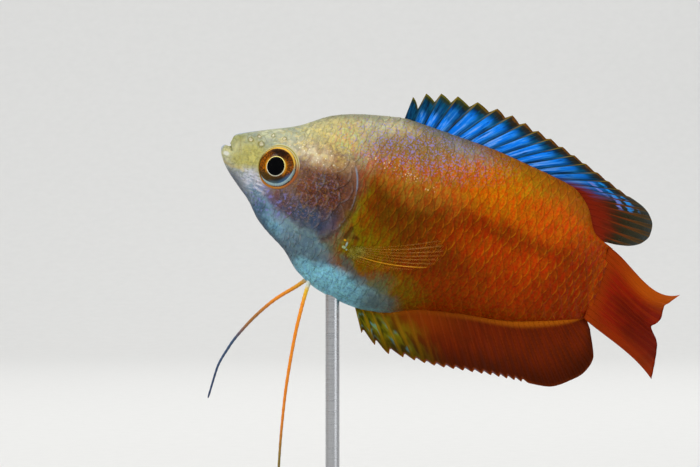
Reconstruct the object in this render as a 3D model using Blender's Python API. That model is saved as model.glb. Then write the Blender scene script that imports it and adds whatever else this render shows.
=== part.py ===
"""A male red dwarf gourami, life size, swimming nose up on a plain display stand.

Metres, +Z up. The origin is the centre of the stand's underside. The fish faces -X, its left side
faces -Y, and its tail sweeps away to its right, towards +Y.
"""

import math

import bmesh
import bpy
import numpy as np
from mathutils import Vector

MM = 0.001

# The fish has a frame of its own, in millimetres: along runs from the mouth to the tail, up over the
# back, and out towards the fish's left side.
MOUTH_AT = (-24.0, 65.5)  # the mouth's place over the stand, as X and Z
NOSE_UP = math.radians(19.7)
SNOUT, TAIL_ROOT = -0.25, 57.5
BEND_START, BODY_BEND = 36.0, 0.0071  # the body curves away behind this place
FIN_BEND = 0.0235  # the tail fin curves away faster still
GAP = 0.12  # clear space between neighbouring pieces

# The outline of the body from the side, as (along, up).
BACK_LINE = (
    (-0.25, 0.15), (0.1, 0.6), (0.7, 0.72), (0.9, 2.2), (1.5, 2.78), (2.1, 3.1), (5.0, 4.6), (9.0, 6.65),
    (13.0, 9.6), (16.0, 11.0), (20.0, 12.2), (24.0, 12.95), (35.0, 13.0), (43.0, 12.5), (49.0, 11.8),
    (52.0, 9.9), (54.4, 6.6), (57.5, 5.4),
)
BELLY_LINE = (
    (-0.25, -0.15), (0.0, -0.75), (1.0, -2.1), (4.0, -4.5), (6.0, -5.9), (8.0, -7.9), (10.0, -9.2), (13.0, -10.8),
    (16.0, -13.2), (20.0, -14.75), (25.0, -15.25), (29.0, -14.7), (34.0, -12.5), (40.0, -11.0), (46.0, -9.9),
    (51.0, -8.2), (57.5, -5.5),
)
# Half of the body's thickness, and the height at which it is thickest.
HALF_WIDTH = (
    (-0.25, 0.3), (0.2, 0.95), (2.0, 1.85), (5.0, 2.95), (8.2, 3.75), (12.0, 4.4), (16.0, 4.8), (20.0, 4.95),
    (27.0, 4.9), (34.0, 4.4), (41.0, 3.6), (48.0, 2.6), (53.0, 1.8), (57.5, 1.2),
)
WIDEST_LEVEL = (
    (-0.25, 0.0), (2.0, 0.3), (8.0, -0.1), (14.0, -1.4), (20.0, -3.4), (27.0, -3.6), (36.0, -1.0),
    (46.0, 0.4), (57.5, 0.0),
)
# Under 1 the section is boxier than an ellipse, as on the broad forehead. Over 1 it is a keel.
KEEL = ((-0.25, 0.8), (6.0, 0.75), (13.0, 0.85), (22.0, 1.0), (40.0, 1.1), (57.5, 1.0))
BODY_STATIONS, BODY_SIDES = 46, 24
STATION_CROWDING = 1.3  # stations crowd towards the snout

# The eye is a flattened ball.
EYE_ALONG, EYE_UP, EYE_OUT = 8.4, 0.05, 2.8
EYE_RADIUS, EYE_HALF_DEPTH = 2.75, 2.0
EYE_LOOKS_FORWARD = math.radians(8)
EYE_SEGMENTS, EYE_RINGS = 18, 10

# The gill cover is an ellipse from the side, and everything outside this depth.
GILL_ALONG, GILL_UP, GILL_HALF_LENGTH, GILL_HALF_HEIGHT = 16.0, -1.1, 4.3, 6.6
GILL_INNER = 2.6
GILL_TOP_ANGLE, GILL_LOW_ANGLE = math.radians(72), math.radians(-68)
NAPE_CUT_ALONG, THROAT_CUT_ALONG, THROAT_CUT_UP = 16.0, 12.0, -16.0

# The mouth slit, and the fold behind each jaw, as (along, up) lines.
MOUTH_SLIT = ((-3.0, 0.95), (0.8, 0.75), (1.7, 0.15), (3.1, -1.0))
LIP_FOLD = ((1.95, 6.0), (1.95, 3.1), (2.45, 1.0), (3.1, -1.0))
CHIN_FOLD = ((3.1, -1.0), (4.4, -3.2), (4.3, -8.0))
PEDUNCLE_CUT = 52.6

# Fin rays: (ray number, where its root is along the body, its tip along, its tip up).
DORSAL_RAYS = (
    (0, 23.0, 23.1, 16.0), (1, 24.4, 24.7, 17.1), (3, 27.5, 29.1, 18.25), (5, 30.8, 35.0, 18.5),
    (8, 35.9, 41.6, 17.5), (12, 42.6, 49.7, 15.4), (15, 47.4, 55.6, 13.6), (18, 50.4, 60.3, 12.2),
    (20, 51.8, 62.0, 10.2), (21, 52.5, 62.1, 9.0), (22, 53.2, 61.4, 7.6), (23, 54.0, 59.7, 6.5), (24, 55.2, 57.8, 6.0),
)
ANAL_RAYS = (
    (0, 25.2, 27.5, -18.2), (1, 26.3, 29.9, -19.2), (2, 27.5, 32.2, -19.75), (3, 28.9, 34.3, -19.5),
    (6, 33.8, 38.9, -19.1), (9, 37.6, 43.0, -18.4), (12, 41.4, 47.0, -17.7), (16, 45.6, 51.5, -17.1),
    (20, 48.6, 55.4, -16.5), (24, 51.3, 58.2, -14.6), (27, 53.3, 59.8, -12.7), (29, 54.7, 60.3, -10.7),
    (31, 57.1, 58.4, -6.7),
)
# Tail fin rays: (ray number, root up, tip along, tip up, how far the ray bows up at most).
TAIL_RAYS = (
    (0, 5.35, 69.75, 2.45, -1.6), (1, 4.45, 68.6, 0.9, -1.2), (2, 3.54, 67.95, 0.0, -0.9),
    (3.5, 2.2, 68.15, -1.7, -0.5), (4.5, 1.3, 67.6, -2.8, -0.35), (5.5, 0.4, 67.1, -3.3, -0.2),
    (8, -1.9, 68.9, -5.4, 0.0), (10, -3.7, 69.6, -8.0, 0.2), (12, -5.5, 70.0, -10.6, 0.5),
)
# Pectoral fin rays: (ray number, tip along, tip up).
PECTORAL_RAYS = ((0, 33.6, -1.9), (2, 34.6, -3.2), (5, 33.9, -5.4), (7, 31.4, -7.2), (9, 27.8, -8.5))
PECTORAL_ROOT, PECTORAL_ROOT_HEIGHT = (21.8, -7.8), 1.6
PECTORAL_FLARE = math.tan(math.radians(13))
SPINES_IN_DORSAL, SPINES_IN_ANAL = 16, 17
NOTCH_PLACE = 0.72  # the web between two spines is lowest just before the next spine
FIN_THICKNESS, ROOT_SUNK = 0.6, 0.4
DORSAL_LEVELS, ANAL_LEVELS, TAIL_LEVELS, PECTORAL_LEVELS = 4, 3, 5, 5

# The thread-like pelvic fins, as (along, up, out) down their length.
LEFT_FEELER = (
    (18.0, -13.4, 0.7), (18.1, -15.5, 1.0), (18.5, -20.0, 1.5), (19.8, -28.0, 1.6), (21.3, -34.5, 1.2),
    (23.1, -41.0, 0.7), (25.9, -50.0, 0.2),
)
RIGHT_FEELER = (
    (17.8, -13.3, -0.7), (16.6, -15.0, -2.3), (14.0, -18.3, -5.6), (11.5, -23.0, -10.8), (10.0, -27.2, -15.4),
    (9.3, -31.2, -19.8), (9.4, -36.0, -25.0),
)
FEELER_ROOT_RADIUS, FEELER_TIP_RADIUS = 0.42, 0.28
FEELER_STATIONS, FEELER_SIDES = 26, 8

# The stand: an oval base, one rod up into the belly, and a collar where they meet.
BASE_HALF_LENGTH, BASE_HALF_WIDTH, BASE_HEIGHT, BASE_BEVEL = 40.0, 24.0, 6.0, 1.2
BASE_SIDES = 40
ROD_RADIUS, ROD_ALONG, ROD_IN_BODY, ROD_IN_BASE = 1.0, 22.0, 4.0, 3.0
ROD_SIDES = 20
COLLAR_RADIUS, COLLAR_HEIGHT = 2.6, 1.6


def smooth_line(marks, column=1):
    """A function through the marks with no overshoot: a monotone cubic in the first column."""
    x = np.array([m[0] for m in marks], float)
    y = np.array([m[column] for m in marks], float)
    step, slope = np.diff(x), np.diff(y) / np.diff(x)
    tangent = np.zeros(len(x))
    tangent[0], tangent[-1] = slope[0], slope[-1]
    for i in range(1, len(x) - 1):
        if slope[i - 1] * slope[i] > 0:
            before, after = 2 * step[i] + step[i - 1], step[i] + 2 * step[i - 1]
            tangent[i] = (before + after) / (before / slope[i - 1] + after / slope[i])

    def value(at):
        at = min(max(at, x[0]), x[-1])
        i = min(int(np.searchsorted(x, at, side="right")) - 1, len(x) - 2)
        i = max(i, 0)
        h, t = step[i], (at - x[i]) / step[i]
        return float(
            y[i] * (1 + 2 * t) * (1 - t) ** 2 + h * tangent[i] * t * (1 - t) ** 2
            + y[i + 1] * t * t * (3 - 2 * t) + h * tangent[i + 1] * t * t * (t - 1)
        )

    return value


back, belly = smooth_line(BACK_LINE), smooth_line(BELLY_LINE)
half_width, widest_level, keel = smooth_line(HALF_WIDTH), smooth_line(WIDEST_LEVEL), smooth_line(KEEL)


def sway(along):
    """How far the curved tail has swung away at this place."""
    away = BODY_BEND * max(0.0, along - BEND_START) ** 2
    return away + FIN_BEND * max(0.0, along - TAIL_ROOT) ** 2


def place(along, up, out):
    """A point of the fish's own frame, in millimetres, as a place over the stand, in metres."""
    x = MOUTH_AT[0] + along * math.cos(NOSE_UP) + up * math.sin(NOSE_UP)
    z = MOUTH_AT[1] - along * math.sin(NOSE_UP) + up * math.cos(NOSE_UP)
    return Vector((x, sway(along) - out, z)) * MM


def section(along, angle, grow=0.0):
    """(up, out) on the skin at this station. Angle 0 is the back and a quarter turn the left flank."""
    level = widest_level(along)
    reach = (back(along) - level if math.cos(angle) > 0 else level - belly(along)) + grow
    side = math.copysign(abs(math.sin(angle)) ** keel(along), math.sin(angle))
    return level + reach * math.cos(angle), (half_width(along) + grow) * side


def flank(along, up):
    """How far out the skin is at this height."""
    level = widest_level(along)
    reach = back(along) - level if up > level else level - belly(along)
    return half_width(along) * max(0.0, 1 - ((up - level) / reach) ** 2) ** (keel(along) / 2)


def gill_edge(angle, grow=0.0):
    """(along, up) on the gill cover's rim. Angle 0 is its rear."""
    return (
        GILL_ALONG + (GILL_HALF_LENGTH + grow) * math.cos(angle),
        GILL_UP + (GILL_HALF_HEIGHT + grow) * math.sin(angle),
    )


def paint(name, colour, roughness, metallic=0.0):
    """A material for one sub-part."""
    material = bpy.data.materials.new(name)
    material.use_nodes = True
    shader = material.node_tree.nodes["Principled BSDF"]
    shader.inputs["Base Color"].default_value = (*colour, 1.0)
    shader.inputs["Roughness"].default_value = roughness
    shader.inputs["Metallic"].default_value = metallic
    return material


def mesh_object(name, points, faces, material=None, smooth=True):
    """An object from points already in place. Its faces are turned to point outwards."""
    mesh = bpy.data.meshes.new(name)
    mesh.from_pydata([tuple(p) for p in points], [], faces)
    work = bmesh.new()
    work.from_mesh(mesh)
    bmesh.ops.remove_doubles(work, verts=work.verts, dist=1e-7)
    bmesh.ops.recalc_face_normals(work, faces=work.faces)
    work.to_mesh(mesh)
    work.free()
    if smooth:
        mesh.shade_smooth()
        mesh.set_sharp_from_angle(angle=math.radians(40))
    obj = bpy.data.objects.new(name, mesh)
    bpy.context.scene.collection.objects.link(obj)
    if material:
        mesh.materials.append(material)
    return obj


def loft(name, rings, material=None, smooth=True):
    """A closed solid through rings of points, with a flat cap at each end."""
    sides = len(rings[0])
    points = [p for ring in rings for p in ring]
    faces = [
        (r * sides + i, r * sides + (i + 1) % sides, (r + 1) * sides + (i + 1) % sides, (r + 1) * sides + i)
        for r in range(len(rings) - 1)
        for i in range(sides)
    ]
    faces.append(tuple(range(sides)))
    faces.append(tuple(range(len(points) - sides, len(points))))
    return mesh_object(name, points, faces, material, smooth)


def helper(obj):
    """Marks a cutter, so that it isn't part of the model."""
    obj.hide_render = True
    obj.display_type = "WIRE"
    return obj


def combine(obj, other, operation):
    """Adds a Boolean with another object."""
    modifier = obj.modifiers.new(operation.title(), "BOOLEAN")
    modifier.operation = operation
    modifier.object = other
    return obj


def whole_body(name, material=None, grow=0.0):
    """The body from the lips to the root of the tail fin as one solid."""
    rings = []
    for station in range(BODY_STATIONS + 1):
        share = (station / BODY_STATIONS) ** STATION_CROWDING
        along = SNOUT + share * (TAIL_ROOT - SNOUT)
        ring = [section(along, 2 * math.pi * i / BODY_SIDES, grow) for i in range(BODY_SIDES)]
        rings.append([place(along, up, out) for up, out in ring])
    return loft(name, rings, material)


def prism(name, outline, inner=-30.0, outer=30.0):
    """A cutter with an (along, up) outline, from one depth to another across the fish."""
    rings = [[place(along, up, out) for along, up in outline] for out in (inner, outer)]
    return helper(loft(name, rings, smooth=False))


def shifted(line, by):
    return [(along + by, up) for along, up in line]


def rear_of_gill(grow):
    """The cut between head and trunk, from the nape down round the gill cover to the throat."""
    angles = np.linspace(GILL_TOP_ANGLE, GILL_LOW_ANGLE, 15)
    rim = [gill_edge(a, grow) for a in angles]
    return [(NAPE_CUT_ALONG + grow, 30.0), *rim, (THROAT_CUT_ALONG + grow, THROAT_CUT_UP)]


def gill_rim(grow, points=28):
    return [gill_edge(2 * math.pi * i / points, grow) for i in range(points)]


def flesh():
    """Head, jaws, gill covers, trunk and tail stem, parted by thin cuts from one body."""
    half = GAP / 2
    skin_red = (0.72, 0.17, 0.03)
    cream = (0.72, 0.62, 0.38)
    jaws_behind = shifted(LIP_FOLD[:3], half) + shifted(CHIN_FOLD, half)
    head = whole_body("head", paint("head_skin", (0.66, 0.55, 0.38), 0.4))
    combine(head, prism("head_cutter", rear_of_gill(-half) + jaws_behind[::-1]), "INTERSECT")
    for side, name in ((1, "left"), (-1, "right")):
        depths = (GILL_INNER - half, 30.0)
        combine(head, prism(f"gill_pocket_{name}", gill_rim(half), *(side * d for d in depths)), "DIFFERENCE")
        cover = whole_body(f"gill_cover_{name}", paint(f"gill_{name}_skin", (0.42, 0.22, 0.20), 0.35))
        depths = (GILL_INNER + half, 30.0)
        combine(cover, prism(f"gill_cutter_{name}", gill_rim(-half), *(side * d for d in depths)), "INTERSECT")
        combine(head, helper(eyeball(f"socket_{name}", side, GAP)), "DIFFERENCE")
    upper = whole_body("upper_jaw", paint("upper_lip_skin", cream, 0.4))
    slit_top = [(along, up + half) for along, up in MOUTH_SLIT[:3]]
    upper_outline = [(-3.0, 6.0), *slit_top, *shifted(LIP_FOLD, -half)[::-1]]
    combine(upper, prism("upper_jaw_cutter", upper_outline), "INTERSECT")
    lower = whole_body("lower_jaw", paint("lower_lip_skin", cream, 0.4))
    slit_low = [(along, up - half) for along, up in MOUTH_SLIT[:3]]
    lower_outline = [(-3.0, -8.0), *slit_low, *shifted(CHIN_FOLD, -half)]
    combine(lower, prism("lower_jaw_cutter", lower_outline), "INTERSECT")
    trunk = whole_body("trunk", paint("trunk_skin", skin_red, 0.35))
    behind = [(PEDUNCLE_CUT - half, THROAT_CUT_UP - 5), (PEDUNCLE_CUT - half, 30.0)]
    combine(trunk, prism("trunk_cutter", rear_of_gill(half) + behind), "INTERSECT")
    combine(trunk, helper(rod("rod_hole", GAP)), "DIFFERENCE")
    stem = whole_body("tail_stem", paint("tail_stem_skin", skin_red, 0.35))
    front, rear = PEDUNCLE_CUT + half, TAIL_ROOT + 5
    combine(stem, prism("tail_stem_cutter", [(front, -20), (rear, -20), (rear, 20), (front, 20)]), "INTERSECT")


def eyeball(name, side, grow=0.0, material=None):
    """The eye, or its socket where it has grown."""
    work = bmesh.new()
    bmesh.ops.create_uvsphere(work, u_segments=EYE_SEGMENTS, v_segments=EYE_RINGS, radius=1.0)
    points = []
    for vertex in work.verts:
        across = vertex.co.x * (EYE_RADIUS + grow)
        depth = vertex.co.z * (EYE_HALF_DEPTH + grow)
        along = EYE_ALONG + across * math.cos(EYE_LOOKS_FORWARD) - depth * math.sin(EYE_LOOKS_FORWARD)
        out = EYE_OUT + depth * math.cos(EYE_LOOKS_FORWARD) + across * math.sin(EYE_LOOKS_FORWARD)
        points.append(place(along, EYE_UP + vertex.co.y * (EYE_RADIUS + grow), side * out))
    faces = [tuple(v.index for v in face.verts) for face in work.faces]
    work.free()
    return mesh_object(name, points, faces, material)


def eyes():
    for side, name in ((1, "left"), (-1, "right")):
        eyeball(f"eye_{name}", side, material=paint(f"eye_{name}_look", (0.10, 0.04, 0.01), 0.1))


def ray_marks(rows):
    """One function of the ray number for each column after the first."""
    return [smooth_line(rows, column) for column in range(1, len(rows[0]))]


def comb(rays, spines, notch):
    """(ray position, share of full length) down a fin's edge, with the web notched between spines."""
    edge = []
    for ray in range(rays):
        edge.append((ray, 1.0))
        if ray < spines:
            edge.append((ray + NOTCH_PLACE, 1.0 - notch(ray)))
    return edge


def fin_sheet(name, columns, material):
    """A fin from columns of points, each from root to edge, thickened into a thin solid."""
    levels = len(columns[0])
    points = [p for column in columns for p in column]
    faces = [
        (c * levels + v, (c + 1) * levels + v, (c + 1) * levels + v + 1, c * levels + v + 1)
        for c in range(len(columns) - 1)
        for v in range(levels - 1)
    ]
    fin = mesh_object(name, points, faces, material)
    solid = fin.modifiers.new("Thickness", "SOLIDIFY")
    solid.thickness = FIN_THICKNESS * MM
    solid.offset = 0.0
    solid.use_even_offset = False
    return fin


def median_fin(name, rows, levels, spines, notch, line, sunk, material):
    """The dorsal or anal fin. Its root starts a little inside the body, which cuts it to fit."""
    root_along, tip_along, tip_up = ray_marks(rows)
    columns = []
    for ray, share in comb(rows[-1][0] + 1, spines, notch):
        root = np.array((root_along(ray), line(root_along(ray)) + sunk))
        tip = np.array((tip_along(ray), tip_up(ray)))
        shares = np.linspace(0, share, levels + 1)
        columns.append([place(*(root + (tip - root) * s), 0.0) for s in shares])
    combine(fin_sheet(name, columns, material), bpy.data.objects["grown_body"], "DIFFERENCE")


def fins():
    web_blue, web_red = (0.03, 0.22, 0.62), (0.55, 0.12, 0.02)

    def dorsal_notch(ray):
        return 0.32 * math.exp(-ray / 0.6) + 0.17 * math.exp(-((ray / 6) ** 2)) + 0.035

    def anal_notch(ray):
        return 0.15 * math.exp(-((ray / 2.6) ** 2)) + 0.04

    median_fin("dorsal_fin", DORSAL_RAYS, DORSAL_LEVELS, SPINES_IN_DORSAL, dorsal_notch, back, -ROOT_SUNK,
               paint("dorsal_web", web_blue, 0.35))
    median_fin("anal_fin", ANAL_RAYS, ANAL_LEVELS, SPINES_IN_ANAL, anal_notch, belly, ROOT_SUNK,
               paint("anal_web", web_red, 0.4))
    tail_fin()
    for side, name in ((1, "left"), (-1, "right")):
        pectoral_fin(name, side)


def bowed(share):
    """A bow that is 0 at both ends and 1 at its top, two thirds of the way out."""
    return 6.75 * share ** 2 * (1 - share)


def tail_fin():
    """The tail fin, half closed, with each ray bowed."""
    root_up, tip_along, tip_up, bow = ray_marks(TAIL_RAYS)
    columns = []
    for half_ray in range(2 * TAIL_RAYS[-1][0] + 1):
        ray = half_ray / 2
        column = []
        for share in np.linspace(0, 1, TAIL_LEVELS + 1):
            along = TAIL_ROOT + GAP + (tip_along(ray) - TAIL_ROOT - GAP) * share
            up = root_up(ray) + (tip_up(ray) - root_up(ray)) * share + bow(ray) * bowed(share)
            column.append(place(along, up, 0.0))
        columns.append(column)
    fin_sheet("tail_fin", columns, paint("tail_web", (0.60, 0.10, 0.02), 0.4))


def pectoral_fin(name, side):
    """A clear fan that stands off the flank. The grown body cuts its root to fit."""
    tip_along, tip_up = ray_marks(PECTORAL_RAYS)
    rays = PECTORAL_RAYS[-1][0]
    columns = []
    for ray in range(rays + 1):
        along = PECTORAL_ROOT[0]
        up = PECTORAL_ROOT[1] + PECTORAL_ROOT_HEIGHT * (0.5 - ray / rays)
        start = np.array((along, up, flank(along, up) - 0.1))
        end = np.array((tip_along(ray), tip_up(ray), 0.0))
        reach = np.linalg.norm(end[:2] - start[:2])
        end[2] = flank(*PECTORAL_ROOT) + reach * PECTORAL_FLARE
        columns.append([
            place(along, up, side * out)
            for along, up, out in (start + (end - start) * s for s in np.linspace(0, 1, PECTORAL_LEVELS + 1))
        ])
    fin = fin_sheet(f"pectoral_fin_{name}", columns, paint(f"pectoral_{name}_web", (0.62, 0.42, 0.12), 0.3))
    combine(fin, bpy.data.objects["grown_body"], "DIFFERENCE")


def through(points, at):
    """A point of the smooth curve through the points, at from 0 to 1."""
    marks = [(i / (len(points) - 1), *p) for i, p in enumerate(points)]
    return [line(at) for line in ray_marks(marks)]


def feelers():
    """The two pelvic fins, each one long thread."""
    for name, path in (("left", LEFT_FEELER), ("right", RIGHT_FEELER)):
        rings = []
        for station in range(FEELER_STATIONS + 1):
            at = station / FEELER_STATIONS
            here = place(*through(path, at))
            ahead = place(*through(path, min(1.0, at + 0.01))) - place(*through(path, max(0.0, at - 0.01)))
            across = ahead.cross(Vector((0, 1, 0.1))).normalized()
            beside = ahead.cross(across).normalized()
            radius = (FEELER_ROOT_RADIUS + (FEELER_TIP_RADIUS - FEELER_ROOT_RADIUS) * at) * MM
            turns = [2 * math.pi * i / FEELER_SIDES for i in range(FEELER_SIDES)]
            rings.append([here + radius * (math.cos(t) * across + math.sin(t) * beside) for t in turns])
        feeler = loft(f"pelvic_feeler_{name}", rings, paint(f"feeler_{name}_look", (0.85, 0.36, 0.03), 0.4))
        combine(feeler, bpy.data.objects["grown_body"], "DIFFERENCE")


def rod_foot():
    """(x, y) of the rod over the stand, and the height of the belly there, in metres."""
    under = place(ROD_ALONG, belly(ROD_ALONG), 0.0)
    return under.x, under.y, under.z


def cylinder(name, radius, low, high, sides, material=None, bevel=0.0):
    """An upright round bar at the rod's place, sizes in metres."""
    x, y, _ = rod_foot()
    turns = [2 * math.pi * i / sides for i in range(sides)]
    rings = [[Vector((x + radius * math.cos(t), y + radius * math.sin(t), z)) for t in turns] for z in (low, high)]
    bar = loft(name, rings, material)
    if bevel:
        edge = bar.modifiers.new("Edge", "BEVEL")
        edge.width, edge.segments = bevel, 2
        edge.limit_method, edge.angle_limit = "ANGLE", math.radians(60)
    return bar


def rod(name, grow=0.0, material=None):
    top = rod_foot()[2] + (ROD_IN_BODY + grow) * MM
    low = (BASE_HEIGHT - ROD_IN_BASE - grow) * MM
    return cylinder(name, (ROD_RADIUS + grow) * MM, low, top, ROD_SIDES, material)


def stand():
    """The oval base with its drilled hole, the rod and the collar."""
    steel = paint("stand_steel", (0.62, 0.62, 0.63), 0.3, 1.0)
    turns = [2 * math.pi * i / BASE_SIDES for i in range(BASE_SIDES)]
    outline = [(BASE_HALF_LENGTH * math.cos(t) * MM, BASE_HALF_WIDTH * math.sin(t) * MM) for t in turns]
    rings = [[Vector((x, y, z * MM)) for x, y in outline] for z in (0.0, BASE_HEIGHT)]
    base = loft("stand_base", rings, paint("stand_wood", (0.10, 0.05, 0.03), 0.4))
    edge = base.modifiers.new("Edge", "BEVEL")
    edge.width, edge.segments = BASE_BEVEL * MM, 2
    edge.limit_method, edge.angle_limit = "ANGLE", math.radians(60)
    combine(base, helper(rod("base_hole", GAP)), "DIFFERENCE")
    rod("stand_rod", material=steel)
    low = (BASE_HEIGHT + GAP) * MM
    collar = cylinder("stand_collar", COLLAR_RADIUS * MM, low, low + COLLAR_HEIGHT * MM, 24, steel)
    combine(collar, helper(rod("collar_hole", GAP)), "DIFFERENCE")


def main():
    for obj in list(bpy.data.objects):
        bpy.data.objects.remove(obj)
    helper(whole_body("grown_body", grow=GAP))
    flesh()
    eyes()
    fins()
    feelers()
    stand()


main()
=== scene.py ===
# %% [markdown]
# # A dwarf gourami, life size, on a display stand
#
# The construction of this model is already settled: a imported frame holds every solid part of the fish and
# its stand at real size. This lesson gives the frame its looks. It lays one skin over the parts of flesh,
# shingles it with scales, draws the fins ray by ray, and paints everything with procedural materials.

# %% Load the frame
import math

import bpy
import numpy as np
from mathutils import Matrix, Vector


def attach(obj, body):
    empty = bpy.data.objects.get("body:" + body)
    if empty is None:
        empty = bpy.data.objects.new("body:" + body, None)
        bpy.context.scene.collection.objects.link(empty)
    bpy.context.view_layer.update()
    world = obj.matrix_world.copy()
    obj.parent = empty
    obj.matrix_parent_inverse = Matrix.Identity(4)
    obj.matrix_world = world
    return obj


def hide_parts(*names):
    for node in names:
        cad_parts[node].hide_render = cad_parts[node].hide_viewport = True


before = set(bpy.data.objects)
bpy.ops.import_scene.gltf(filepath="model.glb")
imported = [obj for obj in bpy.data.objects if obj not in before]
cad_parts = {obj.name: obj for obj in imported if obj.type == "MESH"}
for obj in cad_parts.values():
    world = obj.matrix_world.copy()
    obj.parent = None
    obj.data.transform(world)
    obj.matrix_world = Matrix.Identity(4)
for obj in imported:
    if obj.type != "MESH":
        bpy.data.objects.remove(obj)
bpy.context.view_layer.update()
MM = 0.001

# %% [markdown]
# ## The camera
#
# The photo is an exact side view, and the fish swims level with the lens. Seven pixels cover a millimetre
# there, so the view is 100 mm wide. A long lens from 45 cm gives that width with hardly any perspective.
# Fixing the camera by the lips keeps the photo's framing, whatever the stand's height is.

# %% Camera
PICTURE_WIDE, PICTURE_HIGH = 700, 467
PIXELS_PER_MM = 7
LIPS_PIXEL = (223, 148)
LIPS_AT = (-24, 65.5)  # x and z of the lips over the stand, in mm
LENS_TO_FISH = 450
SENSOR = 36


def put(name, data):
    """A new object in the scene, which holds a camera, a lamp or a mesh."""
    made = bpy.data.objects.new(name, data)
    bpy.context.scene.collection.objects.link(made)
    return made


camera = put("camera", bpy.data.cameras.new("camera"))
camera.data.sensor_width = SENSOR
camera.data.lens = SENSOR * LENS_TO_FISH / (PICTURE_WIDE / PIXELS_PER_MM)
camera.location = (
    (LIPS_AT[0] + (PICTURE_WIDE / 2 - LIPS_PIXEL[0]) / PIXELS_PER_MM) * MM,
    -LENS_TO_FISH * MM,
    (LIPS_AT[1] - (PICTURE_HIGH / 2 - LIPS_PIXEL[1]) / PIXELS_PER_MM) * MM,
)
camera.rotation_euler = (math.radians(90), 0, 0)
camera.data.clip_start, camera.data.clip_end = 0.01, 20
bpy.context.scene.camera = camera
print("camera at", [round(v, 4) for v in camera.location], "lens", camera.data.lens)

# %% [markdown]
# ## Nodes in few words
#
# Every finish below is a small network of shader nodes. The one that is being made lies on a bench, and
# these helpers add a node to it, join it up and hand back its output, so that a finish reads like a recipe.
# Colours are given as they look on a screen, from 0 to 255, and turned into the linear values that a shader
# wants.

# %% Colours and nodes


def tone(red, green, blue):
    """A colour as seen on screen, from 0 to 255, as a linear shader colour."""
    def linear(value):
        share = value / 255
        return share / 12.92 if share <= 0.04045 else ((share + 0.055) / 1.055) ** 2.4
    return (linear(red), linear(green), linear(blue), 1)


BENCH = {}


def node(kind, inputs=None, **settings):
    """The outputs of a new shader node on the bench. Inputs are values or outputs of other nodes."""
    tree = BENCH["tree"]
    made = tree.nodes.new("ShaderNode" + kind)
    for key, value in settings.items():
        setattr(made, key, value)
    for key, value in (inputs or {}).items():
        if isinstance(value, bpy.types.NodeSocket):
            tree.links.new(value, made.inputs[key])
        else:
            made.inputs[key].default_value = value
    return made.outputs


def calc(operation, first, second=0, third=0):
    """One sum: the output of a Math node."""
    return node("Math", {0: first, 1: second, 2: third}, operation=operation)[0]


print("sea green on a shader:", [round(v, 3) for v in tone(46, 139, 87)])

# %% [markdown]
# ## Shares and masks
#
# Paint on a fish has no hard edges: one colour gives way to the next over a millimetre or so. Each such
# change is a share from 0 to 1. A soft step makes the share, and a mix node paints by it.

# %% Soft steps and mixing


def fade(value, low, high, start=0, end=1):
    """A soft step from start to end as value goes from low to high."""
    ends = {"Value": value, "From Min": low, "From Max": high, "To Min": start, "To Max": end}
    return node("MapRange", ends, interpolation_type="SMOOTHSTEP")[0]


def blend(share, under, over, how="MIX"):
    """Mix a colour over another by a share from 0 to 1."""
    return node("Mix", {0: share, 6: under, 7: over}, data_type="RGBA", blend_type=how)[2]


def paint(colour, *coats):
    """Coats over a colour in turn. Each is a share and a colour, which may be three screen numbers."""
    for share, *over in coats:
        colour = blend(share, colour, tone(*over) if len(over) == 3 else over[0])
    return colour


print("half a share of orange over black:", [round(0.5 * value, 3) for value in tone(236, 138, 14)[:3]])

# %% [markdown]
# ## Sums with shares
#
# Math nodes take two values at a time, which reads badly once a mask has five conditions. These helpers
# chain them.

# %% Sums


def times(first, *others):
    """Shares multiplied together, as where several masks all have to hold."""
    for other in others:
        first = calc("MULTIPLY", first, other)
    return first


def most(first, *others):
    """The largest of the values, as where any of several masks may hold."""
    for other in others:
        first = calc("MAXIMUM", first, other)
    return first


def plus(first, second, part=1):
    """The first value and a part of the second."""
    return calc("MULTIPLY_ADD", second, part, first)


def minus(first, second):
    """The first value less the second."""
    return calc("SUBTRACT", first, second)


def band(value, low, high, soft):
    """1 between low and high, with soft ends outside them."""
    return times(fade(value, low - soft, low), fade(value, high + soft, high))


def reach_of(first, second):
    """How long a step is that goes this far one way and this far across it."""
    return calc("SQRT", plus(times(first, first), times(second, second)))


print("sums ready: times, most, plus, minus, band and reach_of")

# %% [markdown]
# ## Patterns and finishes
#
# A finish takes its patterns from noise, looked up at places that the mesh stores in millimetres, so that a
# speck keeps its real size wherever it lies. Values that never change are set on the shader's own sockets,
# where an exporter finds them.

# %% Noise, bumps and shaders


def read(name):
    """The vector that the mesh stores under this name."""
    return node("Attribute", attribute_name=name)["Vector"]


def parts_of(vector):
    """The three numbers in a vector."""
    return node("SeparateXYZ", {0: vector})


def speckle(where, size, detail=2, rough=0.5):
    """A cloudy value round 0.5, with patches of this size in the units of the places."""
    inputs = {"Vector": where, "Scale": 1 / size, "Detail": detail, "Roughness": rough}
    return node("TexNoise", inputs)[0]


def relief(height, distance, strength=1):
    """A bump from a height from 0 to 1, whose full height is this many metres."""
    inputs = {"Height": height, "Distance": distance, "Strength": strength}
    return node("Bump", inputs)[0]


def new_finish(name, **constants):
    """A new material on the bench, and its shader with the constant values on its own sockets."""
    material = bpy.data.materials.new(name)
    material.use_nodes = True
    BENCH["tree"] = material.node_tree
    shader = material.node_tree.nodes["Principled BSDF"]
    for key, value in constants.items():
        shader.inputs[key.replace("_", " ")].default_value = value
    return material, shader


def feed(shader, **outputs):
    """Joins nodes to the shader's sockets."""
    for key, output in outputs.items():
        BENCH["tree"].links.new(output, shader.inputs[key.replace("_", " ")])


print("materials before the first finish:", len(bpy.data.materials))

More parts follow.
